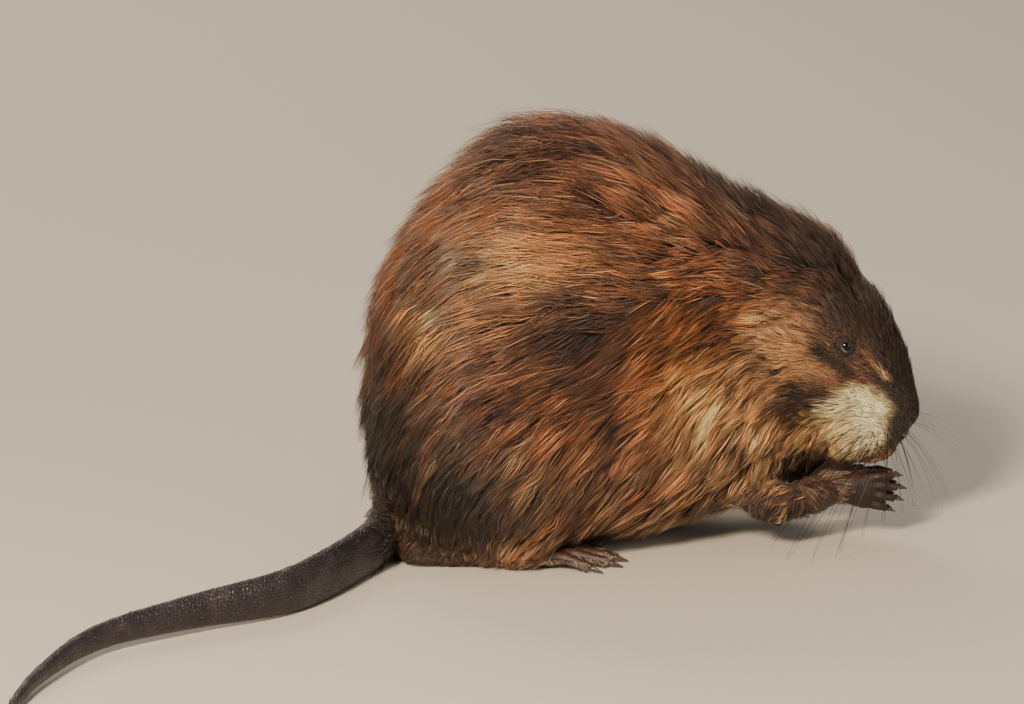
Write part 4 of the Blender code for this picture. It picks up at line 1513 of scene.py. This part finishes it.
def extruded_hair(bm, path, thickness):
    """A thin tapering rod along the path, extruded from one ring."""
    ring = bmesh.ops.create_circle(bm, segments=WHISKER_SIDES, radius=thickness / 2 * MM)["verts"]
    way = Vector(path[1] - path[0]).normalized()
    turn = Vector((0, 0, 1)).rotation_difference(way).to_matrix()
    bmesh.ops.rotate(bm, verts=ring, matrix=turn)
    bmesh.ops.translate(bm, verts=ring, vec=Vector(path[0]) * MM)
    edges = list({e for v in ring for e in v.link_edges})
    bmesh.ops.contextual_create(bm, geom=edges)
    for before, after, share in zip(path[:-1], path[1:], np.linspace(0, 1, len(path))[1:]):
        made = bmesh.ops.extrude_edge_only(bm, edges=edges)["geom"]
        ring = [g for g in made if isinstance(g, bmesh.types.BMVert)]
        edges = [g for g in made if isinstance(g, bmesh.types.BMEdge)]
        edges = [e for e in edges if all(v in ring for v in e.verts)]
        bmesh.ops.translate(bm, verts=ring, vec=Vector(after - before) * MM)
        shrink = Matrix.Diagonal((1 - share / WHISKER_STEPS * 1.2,) * 3)
        bmesh.ops.transform(
            bm, verts=ring, matrix=shrink.to_4x4(), space=Matrix.Translation(-Vector(after) * MM)
        )
    bmesh.ops.contextual_create(bm, geom=edges)


def map_whiskers(mesh, roots, outward):
    """Gives each whisker its patch of the OFBake map, at its root's place."""
    each = WHISKER_SIDES * (WHISKER_STEPS + 1)
    owner, within = np.divmod(np.arange(len(mesh.vertices)), each)
    around, along = within % WHISKER_SIDES, within // WHISKER_SIDES
    patch = np.stack([around / (WHISKER_SIDES - 1) - 0.5, along / WHISKER_STEPS - 0.5], 1) * PATCH
    middles = side_unwrap(np.array(roots), np.tile(outward, (len(roots), 1)))
    corners = np.empty(len(mesh.loops), np.int32)
    mesh.loops.foreach_get("vertex_index", corners)
    lay_map(mesh, corners, middles[owner] + patch)


for side, name in ((1, "left"), (-1, "right")):
    bm = bmesh.new()
    starts = []
    rows = [(one, THICK) for one in WHISKERS] + [(one, FINE) for one in BETWEEN]
    for (root, heading, length, droop), thickness in rows:
        flip = np.array((1, side, 1))
        start = from_head(np.array(root) * flip)
        start = np.array(skin_tree.find_nearest(start.tolist())[0])
        raised = RAISED if side > 0 and root[2] > RAISED_ABOVE else 0
        sweep = np.array(SWEEPS[side]) + np.array((0, 0, raised))
        way = unit(unit(np.array(heading)) * flip + sweep) @ head_axes
        shares = np.linspace(0, 1, WHISKER_STEPS + 1)
        path = start + way * (shares * length)[:, None]
        path[:, 2] -= droop * shares**2
        path[:, 0] -= 0.12 * length * shares**2
        furthest = path[:, 0].max()
        if furthest > WHISKER_REACH:
            fits = (WHISKER_REACH - start[0]) / (furthest - start[0])
            path[:, 0] = start[0] + (path[:, 0] - start[0]) * fits
        path[:, 2] = np.maximum(path[:, 2], 1)
        extruded_hair(bm, path, thickness)
        starts.append(start)
    bmesh.ops.recalc_face_normals(bm, faces=bm.faces)
    whisker_mesh = mesh_from(bm, f"whiskers_{name}")
    map_whiskers(whisker_mesh, starts, side * head_left)
    # The far side's whiskers are painted pale grey as painted light; the near ones are dark.
    shade = "#16100D" if side < 0 else "#8F8781"
    tone = np.tile(linear(shade), (len(whisker_mesh.vertices), 1))
    paint(whisker_mesh, "coat_colour", tone)
    finished(whisker_mesh, f"whiskers_{name}", whisker_keratin, "head_coat")
    print("whiskers", name, len(whisker_mesh.polygons), "faces")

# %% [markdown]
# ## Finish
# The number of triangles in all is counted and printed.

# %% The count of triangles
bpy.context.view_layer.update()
total = sum(
    sum(len(p.vertices) - 2 for p in o.data.polygons)
    for o in bpy.context.scene.objects
    if o.type == "MESH" and not o.hide_render and o is not floor
)
print("triangles before subdivision", total)
